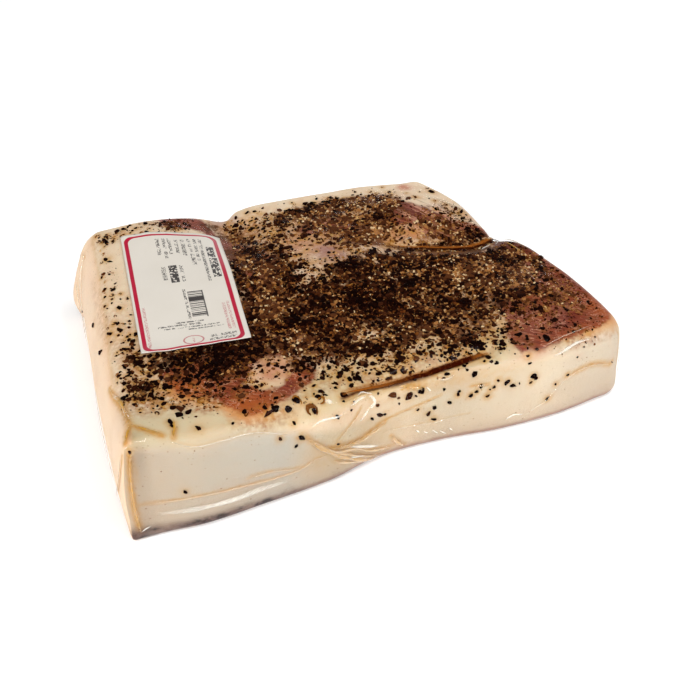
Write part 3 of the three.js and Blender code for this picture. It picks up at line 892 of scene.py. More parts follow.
CRUST: Sequence[Patch] = (
    (30, -30, 56, 38, 1), (62, -18, 46, 32, 0.95), (96, -18, 20, 24, 0.8), (113, -16, 9, 14, 0.7),
    (104, -50, 22, 20, 0.3), (-8, -36, 36, 26, 0.95), (-36, -20, 18, 28, 0.95), (-40, -46, 14, 12, 0.45),
    (-30, 36, 13, 36, 0.95), (-24, 12, 20, 14, 0.9), (-76, -35, 28, 11, 0.9), (-74, -52, 20, 10, 0.55),
    (-38, -62, 8, 7, 0.9), (-112, -54, 7, 7, 0.7), (30, 68, 37, 10, 0.8), (50, 55, 22, 16, 0.65),
    (18, 50, 14, 8, 0.45), (46, 48, 14, 9, 0.5), (30, 38, 10, 5, 0.4), (-6, 50, 8, 14, 0.3),
    (-95, -48, 8, 6, 0.6), (80, 30, 18, 10, 0.4), (98, 18, 12, 5, 0.8), (4, -60, 8, 4, 1),
    (78, 5, 36, 8, 0.8), (72, 15, 30, 4, 0.3), (50, 32, 14, 8, 0.5), (32, 29, 16, 12, 0.7),
    (-12, 26, 8, 14, 0.4), (-20, 2, 14, 8, 0.6), (30, 0, 30, 9, 0.7), (-56, 78, 12, 8, 0.5),
    (-38, 74, 8, 10, 0.5), (-114, -40, 10, 16, 0.15), (42, -70, 14, 4, 0.6), (-112, -24, 7, 10, 0.2),
)

SCATTER: Sequence[Patch] = (
    (-110, 12, 8, 34, 0.36), (-106, 60, 5, 22, 0.3), (-111, -38, 13, 24, 0.75), (-114, -59, 10, 10, 1),
    (-96, -64, 9, 6, 0.5), (-98, 80, 12, 7, 0.9), (-80, 79, 13, 6, 0.6), (-76, -48, 26, 18, 0.85),
    (-18, -68, 40, 9, 0.65), (32, -73, 48, 12, 0.95), (66, -74, 16, 10, 0.7), (-44, -83, 34, 5, 0.3),
    (-12, 54, 12, 20, 0.9), (-22, 74, 10, 8, 0.6), (20, 80, 60, 5, 0.15), (-32, 40, 12, 38, 0.7),
    (20, 44, 26, 16, 0.7), (16, 20, 16, 14, 0.5), (50, 32, 14, 9, 0.7), (30, 67, 36, 14, 0.8),
    (98, 42, 14, 10, 0.2), (96, 64, 14, 12, 0.06), (104, 32, 7, 12, 0.4), (86, 24, 28, 14, 0.5),
    (25, -30, 88, 46, 0.5), (104, -45, 20, 34, 0.16),
)

LEAN_DUST: Sequence[Patch] = (
    (106, -42, 26, 38, 0.9), (84, 32, 24, 18, 0.6), (-76, -60, 24, 18, 0.6), (-54, 82, 16, 10, 0.5),
)

PALE_CRUST: Sequence[Patch] = (
    (78, -24, 26, 22, 0.8), (34, 62, 44, 14, 1), (20, 42, 24, 14, 0.9), (50, -60, 30, 10, 0.6),
    (-36, -14, 10, 14, 0.4), (-24, -46, 30, 12, 0.6), (80, 30, 24, 14, 0.9), (78, 8, 30, 5, 0.8),
    (-30, 32, 12, 42, 0.8), (52, 34, 18, 12, 0.9), (112, 0, 10, 14, 0.5), (104, -46, 24, 34, 0.8),
    (12, 26, 22, 14, 0.6), (-36, -38, 12, 16, 0.5),
)

DARK_CRUST: Sequence[Patch] = ((-74, -42, 28, 12, 1), (-26, -8, 12, 7, 0.2))

STREAKED: Sequence[Patch] = ((88, 36, 20, 20, 1), (72, 50, 12, 12, 0.7))

ROSY: Sequence[Patch] = (
    (-52, -60, 13, 10, 0.9), (-3, 36, 13, 13, 0.6), (50, 33, 11, 7, 1), (66, 29, 13, 6, 0.9),
    (83, 77, 5, 4.5, 1), (22, 46, 22, 14, 1), (48, 42, 12, 8, 0.8), (78, -88, 12, 5, 0.6),
    (-38, -26, 14, 12, 0.7), (-5, -4, 14, 12, 0.2),
)

LILAC: Sequence[Patch] = (
    (13, 22, 10, 13, 1), (86, -20, 14, 14, 0.5), (-30, 84, 9, 7, 0.6), (88, 46, 10, 7, 0.3),
)

MILKY: Sequence[Patch] = ((94, -40, 22, 24, 0.5), (60, 70, 40, 14, 0.15), (-60, 84, 22, 10, 0.4))

SHINE: Sequence[Patch] = ((-12, -98, 30, 10, 0.4), (-127, -88, 5, 6, 0.8), (14, -50, 4, 4, 0.8))

BROWNED: Sequence[Patch] = (
    (-98, -60, 13, 12, 1), (-86, -72, 12, 6, 1), (-66, -88, 16, 5, 0.7), (108, -90, 20, 5, 0.5),
    (-116, -58, 10, 14, 0.7), (112, 4, 10, 9, 1), (-14, 52, 12, 22, 0.8), (-24, 70, 12, 12, 0.7),
    (58, 14, 22, 6, 0.75), (84, 13, 18, 5, 0.9), (-111, -30, 8, 34, 0.35), (-4, -78, 50, 5, 0.5),
    (46, 28, 20, 12, 0.8), (4, 30, 30, 34, 0.5), (-2, 2, 9, 7, 0.5), (-8, 16, 8, 6, 0.4),
    (-60, 86, 16, 9, 0.8), (-118, 30, 5, 60, 0.3),
)

# The front wall's fat along its length, darker than the top: partly the cut fat's own tone, partly painted
# shade.
FRONT_TONES_WITH_SHADE: Sequence[tuple[float, Colour]] = (
    (0.0, tint(184, 164, 141)), (0.1, tint(186, 173, 154)), (0.28, tint(181, 173, 159)),
    (0.39, tint(198, 183, 155)), (0.48, tint(204, 188, 160)), (0.62, tint(197, 182, 157)),
    (0.8, tint(215, 198, 172)), (0.92, tint(202, 187, 165)),
)

LABEL_MIDDLE = (-73.0, 18.5)
LABEL_TURN = -8.7
LABEL_SIZE = (54.5, 101.0)


def label_space(points: Array) -> Array:
    """Places of the plan measured from the label's middle, along its own edges.

    Args:
        points: Places in the frame, one a row.

    Returns:
        How far right and how far back each place is on the label.
    """
    turn = math.radians(LABEL_TURN)
    away = points[:, :2] - np.array(LABEL_MIDDLE) - np.array(MIDDLE_SHIFT[:2])
    return np.column_stack(
        [
            away[:, 0] * math.cos(turn) + away[:, 1] * math.sin(turn),
            away[:, 1] * math.cos(turn) - away[:, 0] * math.sin(turn),
        ]
    )


def under_label(points: Array, margin: float) -> Array:
    """Whether each place is under the label, or closer to it than the margin."""
    places = np.abs(label_space(points))
    return (places[:, 0] < LABEL_SIZE[0] / 2 + margin) & (places[:, 1] < LABEL_SIZE[1] / 2 + margin)


def patched(points: Array, patches: Sequence[Patch]) -> Array:
    """How much of a set of soft patches lies over each place of the plan.

    Args:
        points: Places in the frame, one a row.
        patches: Where each patch is, how far it reaches on both axes, and its share at the middle.

    Returns:
        The joined share, 0 to 1.
    """
    free = np.ones(len(points))
    x, y = points[:, 0] - MIDDLE_SHIFT[0], points[:, 1] - MIDDLE_SHIFT[1]
    for ax, ay, rx, ry, share in patches:
        away = ((x - ax) / rx) ** 2 + ((y - ay) / ry) ** 2
        free = free * (1 - share * np.exp(-(away**1.6)))
    return 1 - free


def crust_share(points: Array) -> Array:
    """How thickly the pepper covers each place of the top, 0 to 1."""
    clumps = mix(0.3, 1.5, soft_noise(points, 11.0, 7)) * mix(0.35, 1.5, soft_noise(points, 4.0, 8))
    return np.clip(patched(points, CRUST) * (1 - patched(points, BARE_FAT)) * clumps, 0, 1)


@dataclass(frozen=True)
class PorkFinish:
    """Cured back fat with its lean, the dark bed under the pepper, juice stains and rind."""

    fat: Colour = tint(222, 202, 174)
    fat_warm: Colour = tint(214, 178, 140)
    fat_cream: Colour = tint(204, 187, 152)
    fat_front_warm: Colour = tint(182, 156, 132)
    fat_left: Colour = tint(232, 202, 170)
    fat_stained: Colour = tint(160, 110, 74)
    fat_browned: Colour = tint(142, 80, 38)
    fat_rosy: Colour = tint(188, 122, 90)
    fat_lilac: Colour = tint(158, 122, 120)
    lean_deep: Colour = tint(82, 24, 13)
    lean_light: Colour = tint(158, 74, 46)
    lean_tip: Colour = tint(160, 80, 34)
    lean_haze: Colour = tint(128, 76, 64)
    lean_rim: Colour = tint(200, 138, 82)
    vein: Colour = tint(200, 146, 118)
    bed: Colour = tint(26, 7, 2)
    bed_ochre: Colour = tint(122, 70, 32)
    bed_pale: Colour = tint(126, 76, 44)
    amber: Colour = tint(190, 136, 52)
    juice: Colour = tint(68, 20, 6)
    rind: Colour = tint(150, 118, 102)
    rind_dark: Colour = tint(84, 64, 60)
    speck: Colour = tint(116, 68, 34)

    def make(self) -> bpy.types.Material:
        """Builds the material and returns it."""
        return PorkLayers(self).material()


class PorkLayers:
    """The pork's material while it is built, in layers over noises that they share."""

    def __init__(self, tones: PorkFinish) -> None:
        """Makes what the layers share: four noises from broad to fine, the lean's grain and its place.

        Args:
            tones: The colours.
        """
        self.tones = tones
        self.shader = s = Shader("cured_pork")
        self.broad, self.cloudy = s.noise(22, 2), s.noise(7, 3, 0.4)
        self.fine, self.grit = s.noise(2.2, 3), s.noise(0.8, 2)
        self.streaks = s.noise(1.1, 3, 0.6, s.laid_along(-38, (9, 1, 1)))
        self.depth = s.attribute("lean") + (self.cloudy - 0.5) * 5 + (self.fine - 0.5) * 3
        self.lean = self.depth.step(-1.6, 1.8)

    def material(self) -> bpy.types.Material:
        """Joins the layers from the flesh out.

        Returns:
            The material.
        """
        s = self.shader
        flesh = self._greasy(self._streaky(s.blend(self._fat(), self._meat(), self.lean)))
        crust = s.attribute("crust") * 1.25 + (self.fine - 0.5) * 0.7 + (self.grit - 0.5) * 0.7
        covered = crust.step(0.3, 0.62)
        flesh = s.blend(flesh, self._bed(), covered * 0.92)
        flesh = s.blend(flesh, self.tones.juice, s.attribute("crease") * (0.75 + self.fine * 0.4))
        flesh = s.blend(flesh, self._hide(), (s.attribute("rind") * (0.55 + self.cloudy * 0.8)).at_most(1.0))
        relief = s.bump(self.streaks * self.lean + self.fine * 0.5, 0.35)
        relief = s.bump(self.grit * (0.2 + covered), 0.3, relief)
        return s.solid(
            Base_Color=flesh,
            Roughness=0.48 + covered * 0.25,
            Normal=relief,
            Subsurface_Weight=0.22,
            Subsurface_Radius=(1.0, 0.5, 0.32),
            Subsurface_Scale=0.004,
            Specular_IOR_Level=0.12,
        )

    def _fat(self) -> Level:
        """The fat: warmer, creamier, rosier or browner in places, with specks, a rim at the lean and painted
        shade in front.

        Returns:
            Its colour.
        """
        s, tones = self.shader, self.tones
        front_wall = s.attribute("front_wall")
        wall = s.ramp(s.attribute("wall_place"), FRONT_TONES_WITH_SHADE)
        # Darker and warmer towards the bottom of the front wall.
        warmer = (self.broad - 0.4).step(0, 0.3) * 0.15 + s.attribute("wall_low") * 0.25
        wall = s.blend(wall, tones.fat_front_warm, warmer)
        fat = s.blend(tones.fat, tones.fat_warm, (self.cloudy - 0.32) * s.attribute("warm") * 1.6)
        fat = s.blend(fat, tones.fat_cream, s.attribute("creamy"))
        fat = s.blend(fat, wall, front_wall)
        fat = s.blend(fat, tones.fat_left, s.attribute("left_wall"))
        fat = s.blend(fat, tones.fat_warm, (self.broad - 0.45).step(0, 0.3) * (1 - front_wall) * 0.35)
        fat = s.blend(fat, tones.fat_lilac, s.attribute("lilac") * (0.55 + self.cloudy * 0.9))
        fat = s.blend(fat, tones.fat_rosy, (s.attribute("rosy") * (0.35 + self.cloudy * 1.1)).at_most(1.0))
        browned = s.attribute("browned") * (self.fine - 0.3).at_least(0.0) * 3.2
        fat = s.blend(fat, tones.fat_browned, browned.at_most(0.9))
        specks = (1 - s.cells(2.3).step(0.06, 0.17)) * (self.cloudy - 0.42).step(0, 0.12)
        freckles = (1 - s.cells(4.6).step(0.05, 0.11)) * (s.noise(14, 2, 0.5) - 0.42).step(0, 0.08)
        fat = s.blend(fat, tones.speck, (specks * 0.6 + freckles * front_wall * 0.8).at_most(0.85))
        rim = self.depth.step(-8.0, -0.5) * s.attribute("tip") * 1.2
        return s.blend(fat, tones.lean_rim, rim.at_most(0.9))

    def _meat(self) -> Level:
        """The lean: streaks along its grain, a haze to the right, amber tips and pale veins.

        Returns:
            Its colour.
        """
        s, tones = self.shader, self.tones
        meat = s.blend(tones.lean_deep, tones.lean_light, (self.streaks - 0.32) * 2.3)
        haze = (self.broad - 0.42).step(0, 0.25) * s.attribute("wall_place") * 0.6
        meat = s.blend(meat, tones.lean_haze, haze)
        meat = s.blend(meat, tones.lean_tip, s.attribute("tip") * (self.fine + 0.45))
        veins = 1 - abs(s.noise(8, 3, 2.2, s.laid_along(-38, (1.5, 1, 1))) - 0.5).step(0.0, 0.022)
        return s.blend(meat, tones.vein, veins * (self.cloudy - 0.35).step(0, 0.15) * 0.85)

    def _streaky(self, flesh: Level) -> Level:
        """Lays bands of fat and lean over the flesh where it is streaked.

        Args:
            flesh: The colour before.

        Returns:
            The colour after.
        """
        s = self.shader
        bands = s.noise(3.0, 2, 0.7, s.laid_along(-55, (7, 1, 1)))
        streaked = s.attribute("streaked")
        flesh = s.blend(flesh, self.tones.vein, (bands - 0.53).step(0, 0.09) * streaked * 0.8)
        return s.blend(flesh, self.tones.lean_deep, (0.47 - bands).step(0, 0.08) * streaked * 0.8)

    def _greasy(self, flesh: Level) -> Level:
        """Stains the flesh with the grease of the pepper and the juice of the folds.

        Args:
            flesh: The colour before.

        Returns:
            The colour after.
        """
        s, fat = self.shader, 1 - self.lean
        greased = s.attribute("crust").step(0.03, 0.4) * (0.15 + self.fine) * fat
        patchy = ((self.cloudy - 0.4) * 1.6 + (self.fine - 0.42)).at_least(0.0)
        stained = (greased + s.attribute("peppered") * patchy * fat).at_most(0.85)
        flesh = s.blend(flesh, self.tones.fat_stained, stained)
        juicy = s.attribute("stain") * (1 - self.lean * 0.75) * (self.fine * 1.3 + 0.2)
        return s.blend(flesh, self.tones.amber, juicy.at_most(0.8))

    def _bed(self) -> Level:
        """The dark, greasy bed between the grains of the crust.

        Returns:
            Its colour.
        """
        s, tones = self.shader, self.tones
        bed = s.blend(tones.bed, tones.bed_ochre, (self.grit - 0.45).step(0, 0.16) * 0.65)
        return s.blend(bed, tones.bed_pale, s.attribute("pale") * (0.2 + self.cloudy))

    def _hide(self) -> Level:
        """The rind under the slab, grey and marked at the front left.

        Returns:
            Its colour.
        """
        s, tones = self.shader, self.tones
        grey = s.attribute("grey_foot")
        hide = s.blend(tones.rind, tones.rind_dark, (grey * (self.cloudy + 0.3)).at_most(1.0))
        return s.blend(hide, tones.bed, (self.cloudy - 0.55).step(0, 0.08) * grey * 0.7)


@dataclass
class Pork:
    """What is in the bag: one slab of cured back fat, a little inside the film, with its form and surface."""

    form: SlabForm
    cells: tuple[int, int, int] = (208, 148, 40)
    inset: float = 0.55
    lowest: float = 0.3
    not_lean: float = -30.0
    deepest_lean: float = 6.0
    crease_widths: tuple[float, float] = (1.5, 0.9)
    beside_crease: float = 2.4
    crease_stain: float = 0.8
    round_grain: float = 1.3
    front_brow: Stations = (
        (-129, 57), (-117, 56), (-102, 52), (-87.5, 51.5), (-73, 49), (-51, 42), (-35, 36), (0, 30),
    )
    left_edge: Stations = ((-92, -129), (-85, -127), (-40, -125), (0, -118.5), (40, -112), (90, -105))
    wall_stains: Sequence[Patch] = ((34, 43, 38, 6, 0.4), (-38, 24, 14, 12, 0.35), (-12, 24, 15, 12, 0.25))
    pools: Sequence[Patch] = ((111.5, 2.5, 7, 8, 0.85), (117.5, -7, 6, 9, 0.75))
    tips: Sequence[Patch] = (
        (131, -72, 10, 14, 0.8), (116, -84, 22, 5, 0.5), (-96, -60, 11, 14, 0.85), (-74, -81, 18, 9, 0.9),
    )
    on_top: Sequence[tuple[str, Sequence[Patch]]] = (
        ("rosy", ROSY), ("lilac", LILAC), ("browned", BROWNED), ("peppered", SCATTER), ("streaked", STREAKED),
    )
    finish: PorkFinish = field(default_factory=PorkFinish)
    piece: Optional[bpy.types.Object] = None
    surface: Optional[Surface] = None

    def build(self) -> None:
        """Makes the slab of pork and what its finish reads."""
        points, faces = self.form.skin(self.cells)
        normals = point_normals(points, faces)
        points = points - normals * self.inset
        points[:, 2] = np.maximum(points[:, 2], self.lowest)
        self.surface = Surface(points, faces)
        self.piece = make_piece("pork", points, faces, self.finish.make(), self._levels())
        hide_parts("sealed_slab")

    def stain_round(self, at: Array, by: Array) -> None:
        """Stains the fat round grains of pepper, where their oil has run.

        Args:
            at: The grains' places.
            by: Their radii.
        """
        tree = tree_of(self.surface.points)
        held = self.piece.data.attributes["stain"].data
        stain = np.zeros(len(self.surface.points))
        held.foreach_get("value", stain)
        normals = self.surface.normals
        shown = np.maximum(ease(normals[:, 2], 0.1, 0.6), ease(-normals[:, 1], 0.5, 0.8))
        held_back = mix(0.4, 1.0, shown)
        strength = np.random.default_rng(SEED + 30).random(len(at)) * 0.95
        for place, radius, strong in zip(at, by, strength):
            reach = radius + self.round_grain
            for _, i, away in tree.find_range(place, 2.2 * reach):
                stain[i] = max(stain[i], held_back[i] * strong * math.exp(-((away / reach) ** 2)))
        held.foreach_set("value", stain)

    def _levels(self) -> dict[str, Array]:
        """The numbers that the finish reads at each point.

        Returns:
            Each number's name and its values.
        """
        points, normals = self.surface.points, self.surface.normals
        x, y, z = self.surface.plan.T
        top = faces_up(normals)
        left_wall = ease(through(self.left_edge, y) - x, -0.8, 1.2) * (1 - ease(-normals[:, 1], 0.5, 0.8))
        return {
            **{name: patched(points, patches) * top for name, patches in self.on_top},
            "tip": patched(points, self.tips) * top,
            "lean": self._lean(),
            "crust": crust_share(points) * top,
            "stain": self._stain(),
            "crease": self._crease(),
            "warm": mix(0.6, 1.0, ease(x, -60, 20)),
            "front_wall": self._front_wall(),
            "left_wall": left_wall,
            "creamy": ease(-y, 60, 76) * top,
            "wall_place": (x + self.form.length / 2) / self.form.length,
            "wall_low": 1 - ease(z, 12, 36),
            "pale": patched(points, PALE_CRUST),
            "rind": self._rind() * (1 - 0.5 * left_wall),
            "grey_foot": faces_front(normals) * (1 - ease(x, -70, -5)),
        }

    def _lean(self) -> Array:
        """How deep each point lies in the lean.

        Returns:
            The depth in millimetres, below 0 outside the lean.
        """
        x, y, z = self.surface.plan.T
        places = self.surface.plan[:, :2]
        depth = np.full(len(x), self.not_lean)
        for outline in LEAN_OUTLINES.values():
            depth = np.maximum(depth, inside_outline(places, outline))
        depth = np.minimum(depth, self.deepest_lean)
        depth = np.minimum(depth, 1.0 - inside_outline(places, FAT_OUTLINE))
        for at_x, at_y, *reach, rise in FAT_ISLANDS:
            depth = depth - rise * bell(x, y, (at_x, at_y), reach)
        return mix(self.not_lean, depth, ease(z, 30, 40) * ease(self.surface.normals[:, 2], -0.1, 0.3))

    def _beside_creases(self, margin: float) -> Array:
        """How close each point of the top is to a crease.

        Args:
            margin: How far beyond a crease's own width it counts as close, in millimetres.

        Returns:
            The closeness, 0 to 1.
        """
        close = np.zeros(len(self.surface.points))
        for stations, width in zip((self.form.back_crease, self.form.front_crease), self.crease_widths):
            away = distance_to_path(self.surface.plan[:, :2], np.asarray(stations, float))
            close = np.maximum(close, np.exp(-((away / (width + margin)) ** 2)))
        return close * faces_up(self.surface.normals)

    def _crease(self) -> Array:
        """How much juice lies on each point, 0 to 1: in the creases and in pools."""
        pools = patched(self.surface.points, self.pools) * faces_up(self.surface.normals)
        return np.maximum(self._beside_creases(0.0), pools)

    def _stain(self) -> Array:
        """How much juice has stained each point: beside folds and creases, on the front and at rims.

        Returns:
            The stain, 0 to 1.
        """
        x, y, z = self.surface.plan.T
        facing = self.surface.normals[:, 1]
        stain = self.crease_stain * self._beside_creases(self.beside_crease)
        for fold in FOLDS:
            if fold.stain:
                path, _ = self.surface.trail(fold.side, fold.stations, 3.0)
                away = distance_to_path(self.surface.points, path)
                stain = np.maximum(stain, fold.amber * np.exp(-((away / fold.stain) ** 2)))
        for at_x, at_z, *reach, share in self.wall_stains:
            wet = share * bell(x, z, (at_x, at_z), reach)
            stain = np.maximum(stain, wet * faces_front(self.surface.normals))
        back_rim = ease(facing, 0.3, 0.6) * (1 - ease(facing, 0.8, 0.98)) * ease(z, 30, 40)
        left_rim = np.exp(-(((x - through(self.left_edge, y)) / 1.3) ** 2))
        return np.maximum(np.maximum(stain, 0.5 * back_rim), 0.3 * left_rim * ease(z, 30, 45))

    def _front_wall(self) -> Array:
        """How much each point is on the cut front side, which stops at its brow.

        Returns:
            The share, 0 to 1.
        """
        x, _, z = self.surface.plan.T
        tilt = -self.surface.normals[:, 1]
        below_brow = ease(through(self.front_brow, x) + 1.0 - z, -3.5, 3.5) * ease(tilt, 0.12, 0.3)
        right_part = faces_front(self.surface.normals) * ease(x, -20, 30)
        return np.maximum(below_brow * (1 - ease(x, -20, 50)), right_part)

    def _rind(self) -> Array:
        """How much rind shows at each point: the underside, and a band along the foot.

        Returns:
            The share, 0 to 1.
        """
        x, _, z = self.surface.plan.T
        foot = 1 - ease(z / mix(1.7, 1.0, ease(x, -125, -20)), 3.5, 7.0)
        under = ease(-self.surface.normals[:, 2], 0.3, 0.8)
        return np.maximum(0.3 * (1 - ease(z, 4, 15)) + 0.7 * foot, under)


@dataclass(frozen=True)
class PepperFinish:
    """Cracked pepper: a row of tones from the darkest grain to the lightest."""

    name: str
    tones: Sequence[tuple[float, Colour]]
    roughness: float = 0.7

    def make(self) -> bpy.types.Material:
        """Builds the material.

        Returns:
            The material.
        """
        s = Shader(self.name)
        grain = s.noise(0.5, 2)
        tone = s.attribute("tone") + (grain - 0.5) * 0.35
        colour = s.ramp(tone, self.tones)
        return s.solid(
            Base_Color=colour,
            Roughness=self.roughness,
            Specular_IOR_Level=0.02,
            Normal=s.bump(grain, 0.1),
        )


class Cut(Enum):
    """How a grain of pepper is broken."""

    CHUNK = "chunk"
    SHARD = "shard"
    CRUMB = "crumb"
    HUSK = "husk"


@dataclass(frozen=True)
class PepperKind:
    """One kind of grain: its cut, how many, their width in millimetres, and where they lie.

    A grain is as high as flat says, from the least to the most, as a share of its width. The kind lies
    thickest where the crust does if it follows_crust, and shares of it are missing where the crust is pale
    (thinned) or dark (darkened).
    """

    name: str
    cut: Cut
    count: int
    smallest: float
    largest: float
    patches: Sequence[Patch]
    finish: PepperFinish
    seed: int
    flat: tuple[float, float]
    follows_crust: bool = True
    thinned: float = 0.0
    darkened: float = 0.0


BLACK = PepperFinish(
    "black_pepper",
    ((0.0, tint(10, 1, 0)), (0.5, tint(22, 4, 1)), (0.8, tint(46, 18, 6)), (1.0, tint(80, 44, 22))),
)
BROWN = PepperFinish(
    "brown_husk",
    ((0.0, tint(22, 4, 1)), (0.45, tint(60, 26, 8)), (0.8, tint(108, 61, 24)), (1.0, tint(156, 106, 60))),
)
OCHRE = PepperFinish(
    "pale_core",
    ((0, tint(84, 38, 12)), (0.5, tint(134, 90, 44)), (0.85, tint(180, 136, 86)), (1, tint(216, 188, 144))),
)
HUSK = PepperFinish(
    "curled_husk",
    ((0, tint(52, 22, 6)), (0.5, tint(112, 64, 20)), (0.85, tint(156, 104, 42)), (1, tint(204, 164, 104))),
)

PEPPER: tuple[PepperKind, ...] = (
    PepperKind("pepper_large", Cut.CHUNK, 1800, 1.6, 4.2, SCATTER, BLACK, 11, (0.35, 0.65), False),
    PepperKind("pepper_black", Cut.SHARD, 4900, 1.5, 3.8, CRUST, BLACK, 12, (0.4, 0.75), thinned=0.55),
    PepperKind("pepper_brown", Cut.SHARD, 3700, 1.3, 3.0, CRUST, BROWN, 13, (0.35, 0.7), darkened=0.6),
    PepperKind("pepper_ochre", Cut.SHARD, 3000, 0.9, 2.1, CRUST, OCHRE, 14, (0.5, 0.9), darkened=0.85),
    PepperKind("pepper_crumbs", Cut.CRUMB, 7000, 0.5, 1.2, CRUST + SCATTER, BLACK, 15, (0.6, 1), thinned=0.3),
    PepperKind("pepper_dust", Cut.CRUMB, 3600, 0.7, 1.8, LEAN_DUST, BROWN, 17, (0.3, 0.6), False),
    PepperKind("pepper_rings", Cut.HUSK, 1400, 1.4, 2.9, SCATTER + CRUST, HUSK, 16, (0.3, 0.5), False),
)

LONE_GRAINS: dict[Cut, dict[Side, Stations]] = {
    Cut.CHUNK: {
        FRONT: (
            (-130, 57, 1.8), (-109, 29, 2.3), (-61, 43, 2), (-53, 48, 1.6), (-31, 44, 2.2), (-31, 27, 1.5),
            (-23, 44, 1.5), (-21, 47, 1.5), (-8, 39, 2), (-7, 33, 2.5), (-4, 32, 1.6), (1, 42, 3.4),
            (4, 36, 1.3), (9, 39, 3.3), (13, 38, 1.4), (14, 29, 1.9), (16, 40, 3.2), (20, 25, 2.2),
            (23, 20, 2.2), (23, 28, 2.3), (28, 38, 1.6), (31, 29, 2.2), (36, 35, 1.9), (44, 44, 3.1),
            (45, 33, 1.7), (47, 36, 2.2), (51, 29, 2), (54, 34, 1.7), (56, 38, 1.7), (61, 36, 2.7),
            (64, 33, 2.5), (73, 44, 1.5), (73, 47, 1.9), (77, 34, 2), (96, 30, 1.5),
        ),
        TOP: (
            (-108, -79, 2.8), (-108, -82, 1.7), (-97, -86, 3), (-81, -88, 1.6), (-64, -87, 3.6),
            (-54, -87, 3.3), (-49, -84, 3.4), (-42, -90, 3.2), (-37, -77, 2.1), (-26, -88, 1.8),
            (-25, -85, 3.2), (-19, -77, 1.8), (-14, -77, 3.4), (-8, -81, 1.6), (-3, -77, 2.5),
            (10, -80, 1.9), (56, -78, 1.7), (70, -81, 3.1), (79, -89, 1.9), (87, -85, 3.3),
            (-71.5, -72, 3.6), (-101, -71, 3.6), (-98, -74, 3.6), (-103, -75, 3.2),
        ),
    },
    Cut.HUSK: {
        TOP: (
            (-84, -74.5, 3.4), (-90, -68.7, 3.8), (-48, -84.3, 4), (-43, -89.8, 4.2), (-37, -86.7, 4.2),
            (-73.3, -83.8, 2.8),
        ),
    },
}


def ball(rounds: int) -> tuple[Array, Array]:
    """A ball of even triangles, radius 1.

    Args:
        rounds: How often each triangle is split in four.

    Returns:
        Its points and the three corners of each face.
    """
    t = (1 + math.sqrt(5)) / 2
    points = [
        (-1, t, 0), (1, t, 0), (-1, -t, 0), (1, -t, 0), (0, -1, t), (0, 1, t), (0, -1, -t), (0, 1, -t),
        (t, 0, -1), (t, 0, 1), (-t, 0, -1), (-t, 0, 1),
    ]
    faces = [
        (0, 11, 5), (0, 5, 1), (0, 1, 7), (0, 7, 10), (0, 10, 11), (1, 5, 9), (5, 11, 4), (11, 10, 2),
        (10, 7, 6), (7, 1, 8), (3, 9, 4), (3, 4, 2), (3, 2, 6), (3, 6, 8), (3, 8, 9), (4, 9, 5),
        (2, 4, 11), (6, 2, 10), (8, 6, 7), (9, 8, 1),
    ]
    for _ in range(rounds):
        halves: dict[tuple[int, int], int] = {}

        def half(a: int, b: int) -> int:
            """The point halfway between two points, made where it isn't there yet.

            Args:
                a: The number of one point.
                b: The number of the other.

            Returns:
                Its number.
            """
            key = (min(a, b), max(a, b))
            if key not in halves:
                halves[key] = len(points)
                points.append(tuple((np.array(points[a]) + np.array(points[b])) / 2))
            return halves[key]

        split = []
        for a, b, c in faces:
            ab, bc, ca = half(a, b), half(b, c), half(c, a)
            split += [(a, ab, ca), (b, bc, ab), (c, ca, bc), (ab, bc, ca)]
        faces = split
        points = [tuple(unit(np.array(p, float))) for p in points]
    return unit(np.array(points, float)), np.array(faces)


def octahedron() -> tuple[Array, Array]:
    """An eight-sided crumb, radius 1.

    Returns:
        Its points and the three corners of each face.
    """
    points = np.array([(1, 0, 0), (-1, 0, 0), (0, 1, 0), (0, -1, 0), (0, 0, 1), (0, 0, -1)], float)
    faces = np.array(
        [(0, 2, 4), (2, 1, 4), (1, 3, 4), (3, 0, 4), (2, 0, 5), (1, 2, 5), (3, 1, 5), (0, 3, 5)]
    )
    return points, faces


def curled_husk(turns: float = 0.8, around: int = 8, section: int = 4) -> tuple[Array, Array]:
    """A husk that has curled into an open ring, radius 1.

    Args:
        turns: How much of a full ring it makes.
        around: Steps round the ring.
        section: Corners of its cross-section.

    Returns:
        Its points and the three corners of each face.
    """
    points, faces = [], []
    for i in range(around + 1):
        angle = turns * math.tau * i / around
        thick = 0.32 * math.sin(math.pi * (i + 0.6) / (around + 1.2)) ** 0.5
        for j in range(section):
            round_it = math.tau * j / section
            reach, rise = 0.74 + thick * math.cos(round_it), 1.5 * thick * math.sin(round_it)
            points.append((reach * math.cos(angle), reach * math.sin(angle), rise))
    for i in range(around):
        for j in range(section):
            a, b = i * section + j, i * section + (j + 1) % section
            faces += [(a, a + section, b + section), (a, b + section, b)]
    for j in range(1, section - 1):
        faces.append((0, j, j + 1))
        last = around * section
        faces.append((last, last + j + 1, last + j))
    return np.array(points), np.array(faces)


CUTS: dict[Cut, tuple[Array, Array]] = {
    Cut.CHUNK: ball(1),
    Cut.SHARD: ball(0),
    Cut.CRUMB: octahedron(),
    Cut.HUSK: curled_husk(),
}


